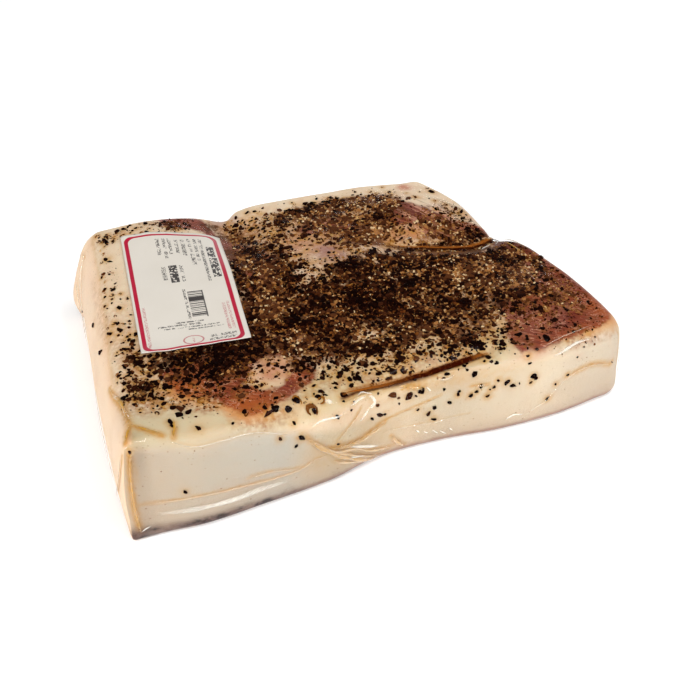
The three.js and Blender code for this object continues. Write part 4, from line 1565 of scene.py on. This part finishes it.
@dataclass
class PepperCoat:
    """The cracked pepper pressed on the pork, one joined mesh a kind.

    Places are tried between two corners of the plan. A chunk loses so many chips, and a share of each grain's
    height is sunk in the fat. No grain lies where the surface's direction is outside least_up and the three
    that follow it. The walls are a side, its stretch on both axes, and a number of stray grains.
    """

    kinds: Sequence[PepperKind] = PEPPER
    tried: tuple[tuple[float, float], tuple[float, float]] = ((-134, -94), (138, 97))
    chips: int = 6
    sunk: float = 0.38
    lone: float = 0.7
    label_margin: float = -1.5
    least_up: float = 0.45
    most_left: float = -0.6
    most_right: float = 0.25
    most_back: float = 0.25
    walls: Sequence[tuple[Side, tuple[float, float], tuple[float, float], int]] = (
        (FRONT, (-20, 78), (30, 47), 8),
        (FRONT, (40, 128), (14, 46), 5),
        (FRONT, (-130, -30), (12, 46), 2),
        (LEFT, (-86, 86), (16, 50), 3),
        (RIGHT, (-84, 80), (8, 40), 14),
        (BACK, (-110, 96), (8, 44), 34),
    )

    def build(self, pork: Surface) -> tuple[Array, Array]:
        """Makes every kind of grain.

        Args:
            pork: The surface that the grains lie on.

        Returns:
            The middles of the largest grains and how far each stands out, for the film over them.
        """
        tall_at, tall_by = [], []
        for kind in self.kinds:
            rng = np.random.default_rng(SEED + kind.seed)
            at, out = self._places(kind, pork, rng)
            size = mix(kind.smallest, kind.largest, rng.random(len(at)) ** 1.7) / 2
            for side, grains in LONE_GRAINS.get(kind.cut, {}).items():
                shift = np.array(MIDDLE_SHIFT)[list(side.value[1])]
                for a, b, across in grains:
                    met = pork.meet(side, *(np.array((a, b)) + shift))
                    if met is not None:
                        at, out = np.vstack([at, met[0]]), np.vstack([out, met[1]])
                        size = np.append(size, across * self.lone)
            points, tone, faces = self._grains(kind, at, out, size, rng)
            make_piece(kind.name, points, faces, kind.finish.make(), {"tone": tone}, False)
            if kind.cut in (Cut.CHUNK, Cut.HUSK):
                tall_at.append(at)
                tall_by.append(size)
        return np.vstack(tall_at), np.concatenate(tall_by)

    def _places(self, kind: PepperKind, pork: Surface, rng: np.random.Generator) -> tuple[Array, Array]:
        """Where a kind's grains lie.

        Args:
            kind: The kind of grain.
            pork: The surface that they lie on.
            rng: The kind's own random draws.

        Returns:
            The grains' places and the directions out of the surface there.
        """
        at, out = [], []
        while len(at) < kind.count:
            tries = rng.uniform(*self.tried, (kind.count, 2))
            clumps = np.clip(mix(-0.1, 1.7, soft_noise(tries, 4.5, kind.seed)), 0, 1)
            share = patched(tries, kind.patches) * clumps
            if kind.follows_crust:
                share = share * (0.25 + crust_share(tries)) * (1 - kind.thinned * patched(tries, PALE_CRUST))
                share = share * (1 - kind.darkened * patched(tries, DARK_CRUST))
            else:
                share = share * (1 - 0.6 * patched(tries, BARE_FAT))
            share = np.where(under_label(tries, self.label_margin), 0.0, share)
            for x, y in tries[rng.random(len(tries)) < share]:
                met = pork.meet(TOP, x, y)
                if met is not None and self._lies_flat(met[1]) and len(at) < kind.count:
                    at.append(met[0])
                    out.append(met[1])
        if kind.cut is Cut.CHUNK:
            for side, (a0, a1), (b0, b1), count in self.walls:
                for a, b in rng.uniform((a0, b0), (a1, b1), (count, 2)):
                    met = pork.meet(side, a, b)
                    if met is not None:
                        at.append(met[0])
                        out.append(met[1])
        return np.array(at), np.array(out)

    def _lies_flat(self, out: Array) -> bool:
        """Whether a grain stays here, which none does on the slab's rounded rims."""
        level_across = self.most_left < out[0] < self.most_right
        return out[2] > self.least_up and level_across and out[1] < self.most_back

    def _grains(
        self, kind: PepperKind, at: Array, out: Array, size: Array, rng: np.random.Generator
    ) -> tuple[Array, Array, Array]:
        """Every grain of a kind as one mesh.

        Args:
            kind: The kind of grain.
            at: Where each grain touches the surface.
            out: The direction out of the surface there.
            size: Each grain's radius.
            rng: The kind's own random draws.

        Returns:
            The points, each point's tone, and the corners of each face.
        """
        base, corners = CUTS[kind.cut]
        count = len(at)
        rough = 1 + rng.uniform(-0.26, 0.2, (count, len(base))) * (0.3 if kind.cut is Cut.HUSK else 1.0)
        long, wide = rng.uniform(0.85, 1.3, count), rng.uniform(0.6, 1.0, count)
        flat = rng.uniform(*kind.flat, count)
        tilt = unit(out + rng.normal(0, 0.22, (count, 3)))
        aside = unit(np.cross(tilt, rng.normal(0, 1, (count, 3))))
        third = np.cross(tilt, aside)
        shaped = base[None] * rough[..., None]
        if kind.cut is Cut.CHUNK:
            for _ in range(self.chips):
                plane = unit(rng.normal(0, 1, (count, 3)))
                beyond = np.einsum("nij,nj->ni", shaped, plane) - rng.uniform(0.4, 0.75, count)[:, None]
                shaped = shaped - np.maximum(beyond, 0)[..., None] * plane[:, None]
        shaped = shaped * size[:, None, None]
        points = (
            shaped[..., :1] * (aside * long[:, None])[:, None]
            + shaped[..., 1:2] * (third * wide[:, None])[:, None]
            + shaped[..., 2:] * (tilt * flat[:, None])[:, None]
            + (at + out * (size * flat * (1 - 2 * self.sunk))[:, None])[:, None]
        )
        drift = (soft_noise(at, 9.0, 21) - 0.5) * 0.9 - 0.12
        drift = drift + patched(at, PALE_CRUST) * 0.62 - patched(at, DARK_CRUST) * 0.25
        tone = np.repeat(np.clip(rng.random(count) + drift, 0, 1), len(base))
        faces = (corners[None] + (np.arange(count) * len(base))[:, None, None]).reshape(-1, 3)
        return points.reshape(-1, 3), tone, faces


@dataclass(frozen=True)
class FilmFinish:
    """Clear vacuum film: hardly there face on, white where it turns away or catches a lamp."""

    gloss: float = 0.9

    def make(self) -> bpy.types.Material:
        """Builds the material.

        Returns:
            The material.
        """
        s = Shader("clear_film")
        ripple = s.noise(9, 2, 0.8)
        crinkle = s.noise(1.8, 2, 0.5)
        relief = s.bump(ripple + crinkle * 0.2 + s.attribute("lumps") * 0.5 * crinkle, 0.4)
        fresnel = s.node("ShaderNodeFresnel", {}, {"IOR": 1.48, "Normal": relief})
        milky = s.attribute("milky") * (s.noise(9, 3, 1.5) - 0.42).at_least(0.0) * 0.4
        shine = s.attribute("shine")
        cling = 0.1 - s.attribute("lumps") * 0.09
        share = (fresnel * self.gloss * (cling + shine * 0.84) + milky).at_least(0.0).at_most(1.0)
        sheet = s.principled(
            Base_Color=tint(250, 250, 250),
            Metallic=1.0,
            Roughness=0.16 - shine * 0.1 + milky * 1.2,
            Normal=relief,
        )
        return s.finish(s.over_clear(sheet, share))


@dataclass
class Film:
    """The vacuum bag's film, drawn tight over the pork and its pepper."""

    cells: tuple[int, int, int] = (150, 108, 30)
    rise: float = 0.12
    lowest: float = 0.05
    over_crust: float = 0.8
    over_grain: float = 1.2
    grain_skirt: float = 1.4
    grain_reach: float = 3.2
    smoothings: int = 3
    least_kept: float = 0.85
    dull_rim: float = 0.1
    finish: FilmFinish = field(default_factory=FilmFinish)

    def build(self, form: SlabForm, tall_at: Array, tall_by: Array) -> Surface:
        """Makes the film.

        Args:
            form: The shape of the sealed slab.
            tall_at: The middles of the largest grains under it.
            tall_by: How far each of them stands out.

        Returns:
            The film's surface, for what lies on it.
        """
        points, faces = form.skin(self.cells)
        normals = point_normals(points, faces)
        crust = crust_share(points) * faces_up(normals)
        lift = self._over_grains(points, self.rise + self.over_crust * crust, tall_at, tall_by)
        points = points + normals * self._drawn_tight(lift, faces)[:, None]
        points[:, 2] = np.maximum(points[:, 2], self.lowest)
        surface = Surface(points, faces)
        _, y, z = surface.plan.T
        levels = {
            "lumps": crust,
            "milky": patched(points, MILKY) * ease(z, 25, 40),
            "shine": patched(points, SHINE) - self.dull_rim * ease(y, 66, 84) * ease(z, 30, 40),
        }
        make_piece("film", points, faces, self.finish.make(), levels)
        return surface

    def _over_grains(self, points: Array, lift: Array, tall_at: Array, tall_by: Array) -> Array:
        """Lifts the film over the largest grains.

        Args:
            points: The film's points before it is lifted.
            lift: How far each is lifted so far.
            tall_at: The middles of the largest grains.
            tall_by: How far each of them stands out.

        Returns:
            The lift of each point.
        """
        tree = tree_of(points)
        for at, by in zip(tall_at, tall_by):
            for _, i, away in tree.find_range(at, self.grain_reach + by):
                cone = math.exp(-((away / (self.grain_skirt + by)) ** 2))
                lift[i] = max(lift[i], self.over_grain * by * cone)
        return lift

    def _drawn_tight(self, lift: Array, faces: Array) -> Array:
        """Spans the film between what lifts it.

        Args:
            lift: How far each point is lifted.
            faces: The four corners of each face.

        Returns:
            The smoothed lift, nowhere far below what it was.
        """
        for _ in range(self.smoothings):
            level, count = np.zeros(len(lift)), np.zeros(len(lift))
            np.add.at(level, faces.ravel(), np.repeat(lift[faces].mean(1), 4))
            np.add.at(count, faces.ravel(), 1)
            lift = np.maximum(level / count, self.least_kept * lift)
        return lift


@dataclass(frozen=True)
class JuiceFinish:
    """Juice in pinched film: clear and thin at its edges, thick and dark in the middle."""

    name: str
    thin: Colour
    thick: Colour
    strength: float
    coat: float

    def make(self) -> bpy.types.Material:
        """Builds the material.

        Returns:
            The material.
        """
        s = Shader(self.name)
        deep, amber = s.attribute("deep"), s.attribute("amber")
        run = s.noise(2.4, 3, 0.5)
        colour = s.blend(self.thin, self.thick, (amber * (0.5 + run)).at_most(1.0))
        share = (deep * self.strength * (0.55 + run)).at_most(0.96)
        surface = s.principled(
            Base_Color=colour,
            Roughness=0.12,
            Specular_IOR_Level=self.coat * 0.5,
            Coat_Weight=self.coat,
            Coat_Roughness=0.05,
            Normal=s.bump(run, 0.1),
        )
        return s.finish(s.over_clear(surface, share))


class Ridges:
    """Low rounded ridges on a surface, joined to one mesh."""

    def __init__(self, across: int = 7) -> None:
        """Starts with no ridge.

        Args:
            across: Points across a ridge.
        """
        self.across = np.linspace(-1, 1, across)
        self.near = np.sqrt(np.maximum(1 - self.across**2, 0))
        self._points, self._faces, self._deep, self._amber = [], [], [], []

    def add(self, path: Array, out: Array, width: Array, height: Array, deep: Array, amber: Array) -> None:
        """Adds a ridge, all of it told along its path.

        Args:
            path: The ridge's middle line.
            out: The direction out of the surface.
            width: Its full width.
            height: Its height.
            deep: How thickly it shows in the middle.
            amber: How dark the juice in it is.
        """
        aside = unit(np.cross(unit(np.gradient(path, axis=0)), out))
        points = (
            path[:, None]
            + aside[:, None] * (self.across[None, :, None] * width[:, None, None] / 2)
            + out[:, None] * (self.near[None, :, None] * height[:, None, None])
        )
        index = np.arange(points.shape[0] * points.shape[1]).reshape(points.shape[:2])
        index = index + sum(len(made) for made in self._points)
        faces = np.stack([index[:-1, :-1], index[:-1, 1:], index[1:, 1:], index[1:, :-1]], -1)
        self._points.append(points.reshape(-1, 3))
        self._faces.append(faces.reshape(-1, 4))
        self._deep.append(np.outer(deep, self.near).ravel())
        self._amber.append(np.repeat(amber, len(self.near)))

    def make(self, name: str, finish: JuiceFinish, slot: str) -> None:
        """Makes the piece, which holds how deep and how dark it is at each point.

        Args:
            name: The piece's name.
            finish: Its finish.
            slot: Not used.
        """
        levels = {"deep": np.concatenate(self._deep), "amber": np.concatenate(self._amber)}
        make_piece(name, np.vstack(self._points), np.vstack(self._faces), finish.make(), levels)


@dataclass
class FilmFolds:
    """Pinched folds of the film where it gathers at the corners and the tuck; their near-white is partly
    painted highlight.
    """

    folds: Sequence[Fold] = FOLDS
    step: float = 1.2
    sunk: float = 0.1
    waver: tuple[float, float] = (0.65, 1.2)
    wavers: int = 9
    # The thin colour is near-white: partly the milky doubled film, partly painted highlight on folds without
    # juice.
    finish: JuiceFinish = JuiceFinish("pinched_film_painted_highlight", tint(255, 250, 238), tint(194, 144, 52), 0.7, 0.8)

    def build(self, film: Surface) -> None:
        """Makes the folds as one piece.

        Args:
            film: The surface that they stand on.
        """
        ridges = Ridges()
        rng = np.random.default_rng(SEED + 40)
        for fold in self.folds:
            path, out = film.trail(fold.side, fold.stations, self.step)
            log.debug("fold %s: %d stations", fold.name, len(path))
            share = np.linspace(0, 1, len(path))
            ends = np.clip(np.minimum(share, 1 - share) / fold.clear_ends, 0, 1) ** 0.6
            bends = np.column_stack([np.linspace(0, 1, self.wavers), rng.uniform(*self.waver, self.wavers)])
            width = fold.width * (0.35 + 0.65 * ends) * through(bends, share)
            deep = ends * mix(0.75, 1.0, fold.amber) * fold.opacity
            amber = np.full(len(path), fold.amber)
            ridges.add(path - out * self.sunk, out, width, fold.height * ends + self.sunk / 2, deep, amber)
        ridges.make("film_folds", self.finish, "film")


@dataclass(frozen=True)
class JuiceRun:
    """One run of juice, this far behind its crease; widths and tones are read along its length."""

    aside: float
    widths: Profile
    tones: Profile
    opacity: float
    rise: float


@dataclass
class CreaseJuice:
    """Dark juice gathered under the film along the two creases of the top, partly painted shadow in front of
    the back one.
    """

    step: float = 1.0
    clear_ends: float = 0.12
    least_end: float = 0.3
    in_back: Sequence[JuiceRun] = (
        # The darkest run, in front of the back crease, is partly juice and partly painted shadow under the
        # fold's edge.
        JuiceRun(-2.4, ((0, 1), (0.15, 2.4), (0.4, 3.6), (0.6, 2), (1, 0.4)), ((0, 1), (1, 1)), 0.8, 0.08),
        JuiceRun(
            -0.3, ((0, 5.2), (0.15, 4.2), (0.4, 3), (0.7, 2.4), (1, 0.8)), ((0, 0.25), (1, 0.25)), 0.7, 0.14
        ),
    )
    in_front: Sequence[JuiceRun] = (
        JuiceRun(
            0.4, ((0, 2.6), (0.2, 3.8), (0.5, 3.4), (0.85, 3.6), (1, 2.6)), ((0, 0.2), (1, 0.3)), 0.45, 0.08
        ),
        JuiceRun(
            -0.1,
            ((0, 0.6), (0.2, 1.4), (0.42, 2.4), (0.6, 3.2), (0.85, 3.4), (1, 1.2)),
            ((0, 0.2), (0.25, 0.5), (0.45, 0.9), (0.85, 1), (0.95, 0.45), (1, 0.2)),
            1.0,
            0.18,
        ),
    )
    finish: JuiceFinish = JuiceFinish("crease_juice", tint(160, 92, 34), tint(50, 10, 2), 1.15, 0.0)

    def build(self, film: Surface, form: SlabForm) -> None:
        """Makes the juice as one piece.

        Args:
            film: The surface over the creases.
            form: The shape of the sealed slab.
        """
        ridges = Ridges()
        runs = [(form.back_crease, run) for run in self.in_back]
        runs += [(form.front_crease, run) for run in self.in_front]
        for stations, run in runs:
            path, out = film.trail(TOP, [(x, y + run.aside) for x, y in stations], self.step)
            share = np.linspace(0, 1, len(path))
            ends = mix(self.least_end, 1.0, np.clip(np.minimum(share, 1 - share) / self.clear_ends, 0, 1))
            width, height = through(run.widths, share), np.full(len(path), run.rise)
            ridges.add(path, out, width, height, ends * run.opacity, through(run.tones, share) * ends)
        ridges.make("crease_juice", self.finish, "juice")


@dataclass(frozen=True)
class LabelFinish:
    """White printed paper: a round-cornered border, bars, rows of small marks and an empty ring."""

    paper: Colour = tint(214, 207, 196)
    paper_warm: Colour = tint(205, 197, 184)
    border: Colour = tint(172, 14, 50)
    ink: Colour = tint(34, 28, 30)
    margin: tuple[float, float] = (1.9, 1.2)
    thick: tuple[float, float] = (2.1, 1.4)
    middle: tuple[float, float] = (-0.6, -0.6)
    corner: float = 4.2
    rows_of_marks: Sequence[Box] = (
        (-9.2, -7.2, 29.5, 44), (-5.6, -3.8, 26, 44), (-2.8, -1, 29.5, 44), (0.9, 2.7, 30, 43),
        (4.3, 6.5, 27, 43), (8, 9.8, 31, 44), (8.1, 10.3, 18, 29), (11.2, 12.9, 21, 44),
        (14.1, 15.8, 2, 44), (-9.2, -6.8, 6.5, 18.5), (0.6, 2.4, 3.5, 18.5), (-0.7, 0.7, -28, -3),
    )
    lines_of_marks: Sequence[Box] = (
        (-8, 6.5, -30.4, -29.4), (-17, 5, -32.4, -31.2), (-14, 14, -34.3, -33.3), (-2, 16, -36.1, -35.2),
        (8, 21, -44.6, -42.6), (7, 21.4, -47.4, -45.6),
    )
    bold_marks: Sequence[Box] = ((17.4, 21.4, 25, 36), (17.4, 21.8, 5, 24), (-5.2, -0.8, 3.5, 19))
    red_marks: Sequence[Box] = (
        (-23, -21.5, -47, -14), (17.6, 19.2, -40, -18), (20, 21.3, -41, -17), (-1.2, -0.2, -47.2, -42.2),
    )
    mark_cell: tuple[float, float] = (0.42, 0.5)
    word_cell: tuple[float, float] = (2.2, 1.7)
    bold_cell: tuple[float, float] = (0.8, 0.7)
    bar_cell: float = 0.38
    bars: Box = (1.4, 9.4, -27.5, -5.5)
    ring: Box = (-0.7, -44.7, 4.9, 3.5)

    def make(self) -> bpy.types.Material:
        """Builds the material.

        Returns:
            The material.
        """
        s = Shader("label_paper")
        across, along = s.attribute("across"), s.attribute("along")

        def box(place: Box) -> Level:
            """1 inside a rectangle of the label, given by its sides.

            Args:
                place: Its left and right, and its low and high side.

            Returns:
                The share, 0 or 1.
            """
            left, right, low, high = place
            beside = abs(across - (left + right) / 2) < (right - left) / 2
            return beside * (abs(along - (low + high) / 2) < (high - low) / 2)

        def frame_depth(margin: tuple[float, float]) -> Level:
            """How far inside a round-cornered outline a place is.

            Args:
                margin: How far the outline is inside the label's edge on both axes.

            Returns:
                The distance, below 0 outside.
            """
            half_wide = LABEL_SIZE[0] / 2 - margin[0] - self.corner
            half_long = LABEL_SIZE[1] / 2 - margin[1] - self.corner
            beside = (abs(across - self.middle[0]) - half_wide).at_least(0.0)
            beyond = (abs(along - self.middle[1]) - half_long).at_least(0.0)
            return self.corner - (beside * beside + beyond * beyond).root()

        def joined(places: Sequence[Box]) -> Level:
            """1 inside any of several rectangles.

            Args:
                places: Each rectangle's sides.

            Returns:
                The share, 0 or 1.
            """
            total = box(places[0])
            for place in places[1:]:
                total = total + box(place)
            return total.at_most(1.0)

        def strewn(cell: tuple[float, float], bare: float) -> Level:
            """1 in cells of a grid that are picked at random, but for a bare share of them."""
            return s.chance((across / cell[0]).floor(), (along / cell[1]).floor()) > bare

        marks = strewn(self.mark_cell, 0.42)
        small = joined(self.rows_of_marks + self.lines_of_marks) * marks * strewn(self.word_cell, 0.14)
        heavy = joined(self.bold_marks) * strewn(self.bold_cell, 0.25)
        stripes = s.chance((along / self.bar_cell).floor(), 3.0) > 0.48
        edge = box((self.bars[1] - 0.6, self.bars[1] + 0.1, self.bars[2], self.bars[3]))
        black = (small * 0.8 + heavy * 0.95 + box(self.bars) * stripes * 0.95 + edge * 0.8).at_most(0.96)

        outer = frame_depth(self.margin).step(-0.15, 0.15)
        inset = (self.margin[0] + self.thick[0], self.margin[1] + self.thick[1])
        inner = frame_depth(inset).step(-0.15, 0.15)
        x, y, rx, ry = self.ring
        round_it = (across - x) * (across - x) * (1 / rx**2) + (along - y) * (along - y) * (1 / ry**2)
        ring = abs(round_it - 1.0) < 0.17
        red = (outer * (1 - inner) + ring * 0.7 + joined(self.red_marks) * marks * 0.5).at_most(1.0)

        grain = s.noise(1.2, 3)
        cream = s.blend(self.paper, self.paper_warm, (s.noise(14, 2) - 0.4) * 0.8)
        colour = s.blend(s.blend(cream, self.ink, black), self.border, red)
        return s.solid(
            Base_Color=colour, Roughness=0.42, Normal=s.bump(grain, 0.06), Specular_IOR_Level=0.4
        )


@dataclass
class Label:
    """The paper label stuck on the film, stiffer than the film and a little wavy."""

    cells: tuple[int, int] = (56, 104)
    thickness: float = 0.18
    gap: float = 0.3
    least_gap: float = 0.02
    smoothings: int = 14
    finish: LabelFinish = field(default_factory=LabelFinish)

    def build(self, film: Surface) -> None:
        """Makes the label.

        Args:
            film: The surface that it is stuck on.
        """
        turn = math.radians(LABEL_TURN)
        a, b = np.meshgrid(
            np.linspace(-0.5, 0.5, self.cells[0] + 1) * LABEL_SIZE[0],
            np.linspace(-0.5, 0.5, self.cells[1] + 1) * LABEL_SIZE[1],
            indexing="ij",
        )
        x = LABEL_MIDDLE[0] + MIDDLE_SHIFT[0] + a * math.cos(turn) - b * math.sin(turn)
        y = LABEL_MIDDLE[1] + MIDDLE_SHIFT[1] + a * math.sin(turn) + b * math.cos(turn)
        wave = 0.16 * np.sin(b / 7.0 + 0.6) * ease(a, 6, 27) + 0.1 * np.sin(a / 4.5 + b / 15)
        curl = 0.5 * bell(a, b, (27, -50), (9, 9)) + 0.3 * bell(a, b, (-27, 50), (8, 8))
        height = self._bridged(film, x, y) + self.gap + wave + curl
        top = np.stack([x, y, height], -1).reshape(-1, 3)
        under = top - np.array([0, 0, self.thickness])
        index = np.arange(len(top)).reshape(a.shape)
        quads = np.stack([index[:-1, :-1], index[1:, :-1], index[1:, 1:], index[:-1, 1:]], -1).reshape(-1, 4)
        rim = np.concatenate([index[:, 0], index[-1, 1:], index[-2::-1, -1], index[0, -2:0:-1]])
        after = np.roll(rim, -1)
        sides = np.column_stack([rim, rim + len(top), after + len(top), after])
        faces = np.vstack([quads, quads[:, ::-1] + len(top), sides])
        levels = {"across": np.tile(a.ravel(), 2), "along": np.tile(b.ravel(), 2)}
        points = np.vstack([top, under])
        piece = make_piece("label_sheet", points, faces, self.finish.make(), levels)
        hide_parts("label")

    def _bridged(self, film: Surface, x: Array, y: Array) -> Array:
        """The height of a stiff sheet laid on the film, which bridges its hollows.

        Args:
            film: The surface under the sheet.
            x: The sheet's grid of places along the slab.
            y: The same across it.

        Returns:
            The height at each place of the grid.
        """
        height = np.full(x.shape, np.nan)
        for index in np.ndindex(x.shape):
            met = film.meet(TOP, x[index], y[index])
            if met is not None:
                height[index] = met[0][2]
        ground = height = np.where(np.isnan(height), np.nanmin(height), height)
        for _ in range(self.smoothings):
            padded = np.pad(height, 1, mode="reflect", reflect_type="odd")
            level = (padded[:-2, 1:-1] + padded[2:, 1:-1] + padded[1:-1, :-2] + padded[1:-1, 2:]) / 4
            height = np.maximum(level, ground + self.least_gap)
        return height


@dataclass(frozen=True)
class FloorFinish:
    """Plain pale studio floor, which glows more far away, so that it ends as pale as the room."""

    colour: Colour = tint(250, 250, 250)
    glow_near: Colour = tint(122, 122, 122)
    glow_far: Colour = tint(226, 226, 226)

    def make(self) -> bpy.types.Material:
        """Builds the material.

        Returns:
            The material.
        """
        s = Shader("studio_floor")
        away = s.node("ShaderNodeVectorMath", {"operation": "LENGTH"}, {0: s.place()}, "Value")
        return s.solid(
            Base_Color=self.colour,
            Roughness=0.9,
            Specular_IOR_Level=0.1,
            Emission_Color=s.blend(self.glow_near, self.glow_far, away.step(0.5, 2.2)),
            Emission_Strength=1.0,
        )


@dataclass(frozen=True)
class Lamp:
    """A soft rectangular lamp, with its place and size in metres and its power in watts."""

    name: str
    at: tuple[float, float, float]
    size: tuple[float, float]
    power: float


@dataclass
class Studio:
    """A pale floor, soft lamps, a pale room and the camera at the photograph's angle."""

    floor: FloorFinish = field(default_factory=FloorFinish)
    lamps: Sequence[Lamp] = (
        Lamp("key", (-1.25, -0.6, 0.95), (0.5, 0.4), 15.0),
        Lamp("front", (0.46, -0.98, 0.8), (0.2, 0.12), 4.0),
        Lamp("overhead", (0.3, -0.2, 1.0), (0.5, 0.08), 2.6),
        Lamp("right_strip", (1.0, -0.75, 0.5), (0.1, 0.6), 2.2),
        Lamp("back_strip", (0.5, 1.2, 0.34), (1.2, 0.1), 2.6),
    )
    sun: float = 1.25
    sun_spread: float = 60.0
    sun_turn: tuple[float, float, float] = (30.0, 0.0, -12.0)
    aim: tuple[float, float, float] = (0.0, 0.0, 0.03)
    room_dims: tuple[float, float] = (0.05, 0.3)
    room_light: tuple[float, float] = (1.0, 0.05)
    floor_size: float = 24.0
    floor_drop: float = 0.0002
    look_at: tuple[float, float, float] = (0.0153, 0.0024, 0.0)
    azimuth: float = -23.0
    elevation: float = 39.0
    distance: float = 0.6555
    lens: float = 59.14
    sensor: float = 36.0
    clip: tuple[float, float] = (0.01, 50.0)

    def build(self) -> None:
        """Makes the floor, the light and the camera."""
        bpy.ops.mesh.primitive_plane_add(size=self.floor_size, location=(0, 0, -self.floor_drop))
        floor = bpy.context.object
        floor.name = "studio_floor"
        floor.data.materials.append(self.floor.make())
        for lamp in self.lamps:
            self._light(lamp)
        self._sunlight()
        self._room()
        self._camera()

    def _link(self, made: bpy.types.Object) -> None:
        """Puts an object in the scene."""
        bpy.context.scene.collection.objects.link(made)

    def _light(self, lamp: Lamp) -> None:
        """Hangs one soft lamp, aimed at the slab.

        Args:
            lamp: The lamp.
        """
        data = bpy.data.lights.new(lamp.name, "AREA")
        data.shape, data.size, data.size_y, data.energy = "RECTANGLE", lamp.size[0], lamp.size[1], lamp.power
        made = bpy.data.objects.new(lamp.name, data)
        made.location = lamp.at
        made.rotation_euler = (Vector(self.aim) - Vector(lamp.at)).to_track_quat("-Z", "Y").to_euler()
        self._link(made)

    def _sunlight(self) -> None:
        """Adds wide, even light from above and in front."""
        data = bpy.data.lights.new("wide_light", "SUN")
        data.energy, data.angle = self.sun, math.radians(self.sun_spread)
        made = bpy.data.objects.new("wide_light", data)
        made.rotation_euler = [math.radians(degrees) for degrees in self.sun_turn]
        self._link(made)

    def _room(self) -> None:
        """A room that is white low down and dimmer overhead."""
        s = Shader("pale_room", is_room=True)
        up = s.node("ShaderNodeSeparateXYZ", {}, {0: s.node("ShaderNodeTexCoord", output="Generated")}, 2)
        reach = {
            "Value": up,
            "From Min": self.room_dims[0],
            "From Max": self.room_dims[1],
            "To Min": self.room_light[0],
            "To Max": self.room_light[1],
        }
        dimmed = s.node("ShaderNodeMapRange", {"interpolation_type": "SMOOTHSTEP"}, reach)
        light = s.node("ShaderNodeBackground", {}, {"Strength": dimmed})
        s.node("ShaderNodeOutputWorld", {}, {"Surface": light})
        bpy.context.scene.world = s.owner

    def _camera(self) -> None:
        """Sets the camera where the photograph was taken from."""
        a, e = math.radians(self.azimuth), math.radians(self.elevation)
        back = Vector((math.sin(a) * math.cos(e), -math.cos(a) * math.cos(e), math.sin(e)))
        data = bpy.data.cameras.new("camera")
        data.lens, data.sensor_width = self.lens, self.sensor
        data.clip_start, data.clip_end = self.clip
        made = bpy.data.objects.new("camera", data)
        made.location = Vector(self.look_at) + back * self.distance
        made.rotation_euler = (-back).to_track_quat("-Z", "Y").to_euler()
        self._link(made)
        bpy.context.scene.camera = made
        bpy.context.scene.view_settings.view_transform = "Standard"


def main() -> None:
    """Builds the slab from the inside out, then the studio round it."""
    logging.basicConfig(level=logging.INFO, format="%(name)s: %(message)s")
    form = SlabForm()
    pork = Pork(form)
    pork.build()
    tall_at, tall_by = PepperCoat().build(pork.surface)
    pork.stain_round(tall_at, tall_by)
    film = Film().build(form, tall_at, tall_by)
    FilmFolds().build(film)
    CreaseJuice().build(film, form)
    Label().build(film)
    Studio().build()


if __name__ == "__main__":
    main()
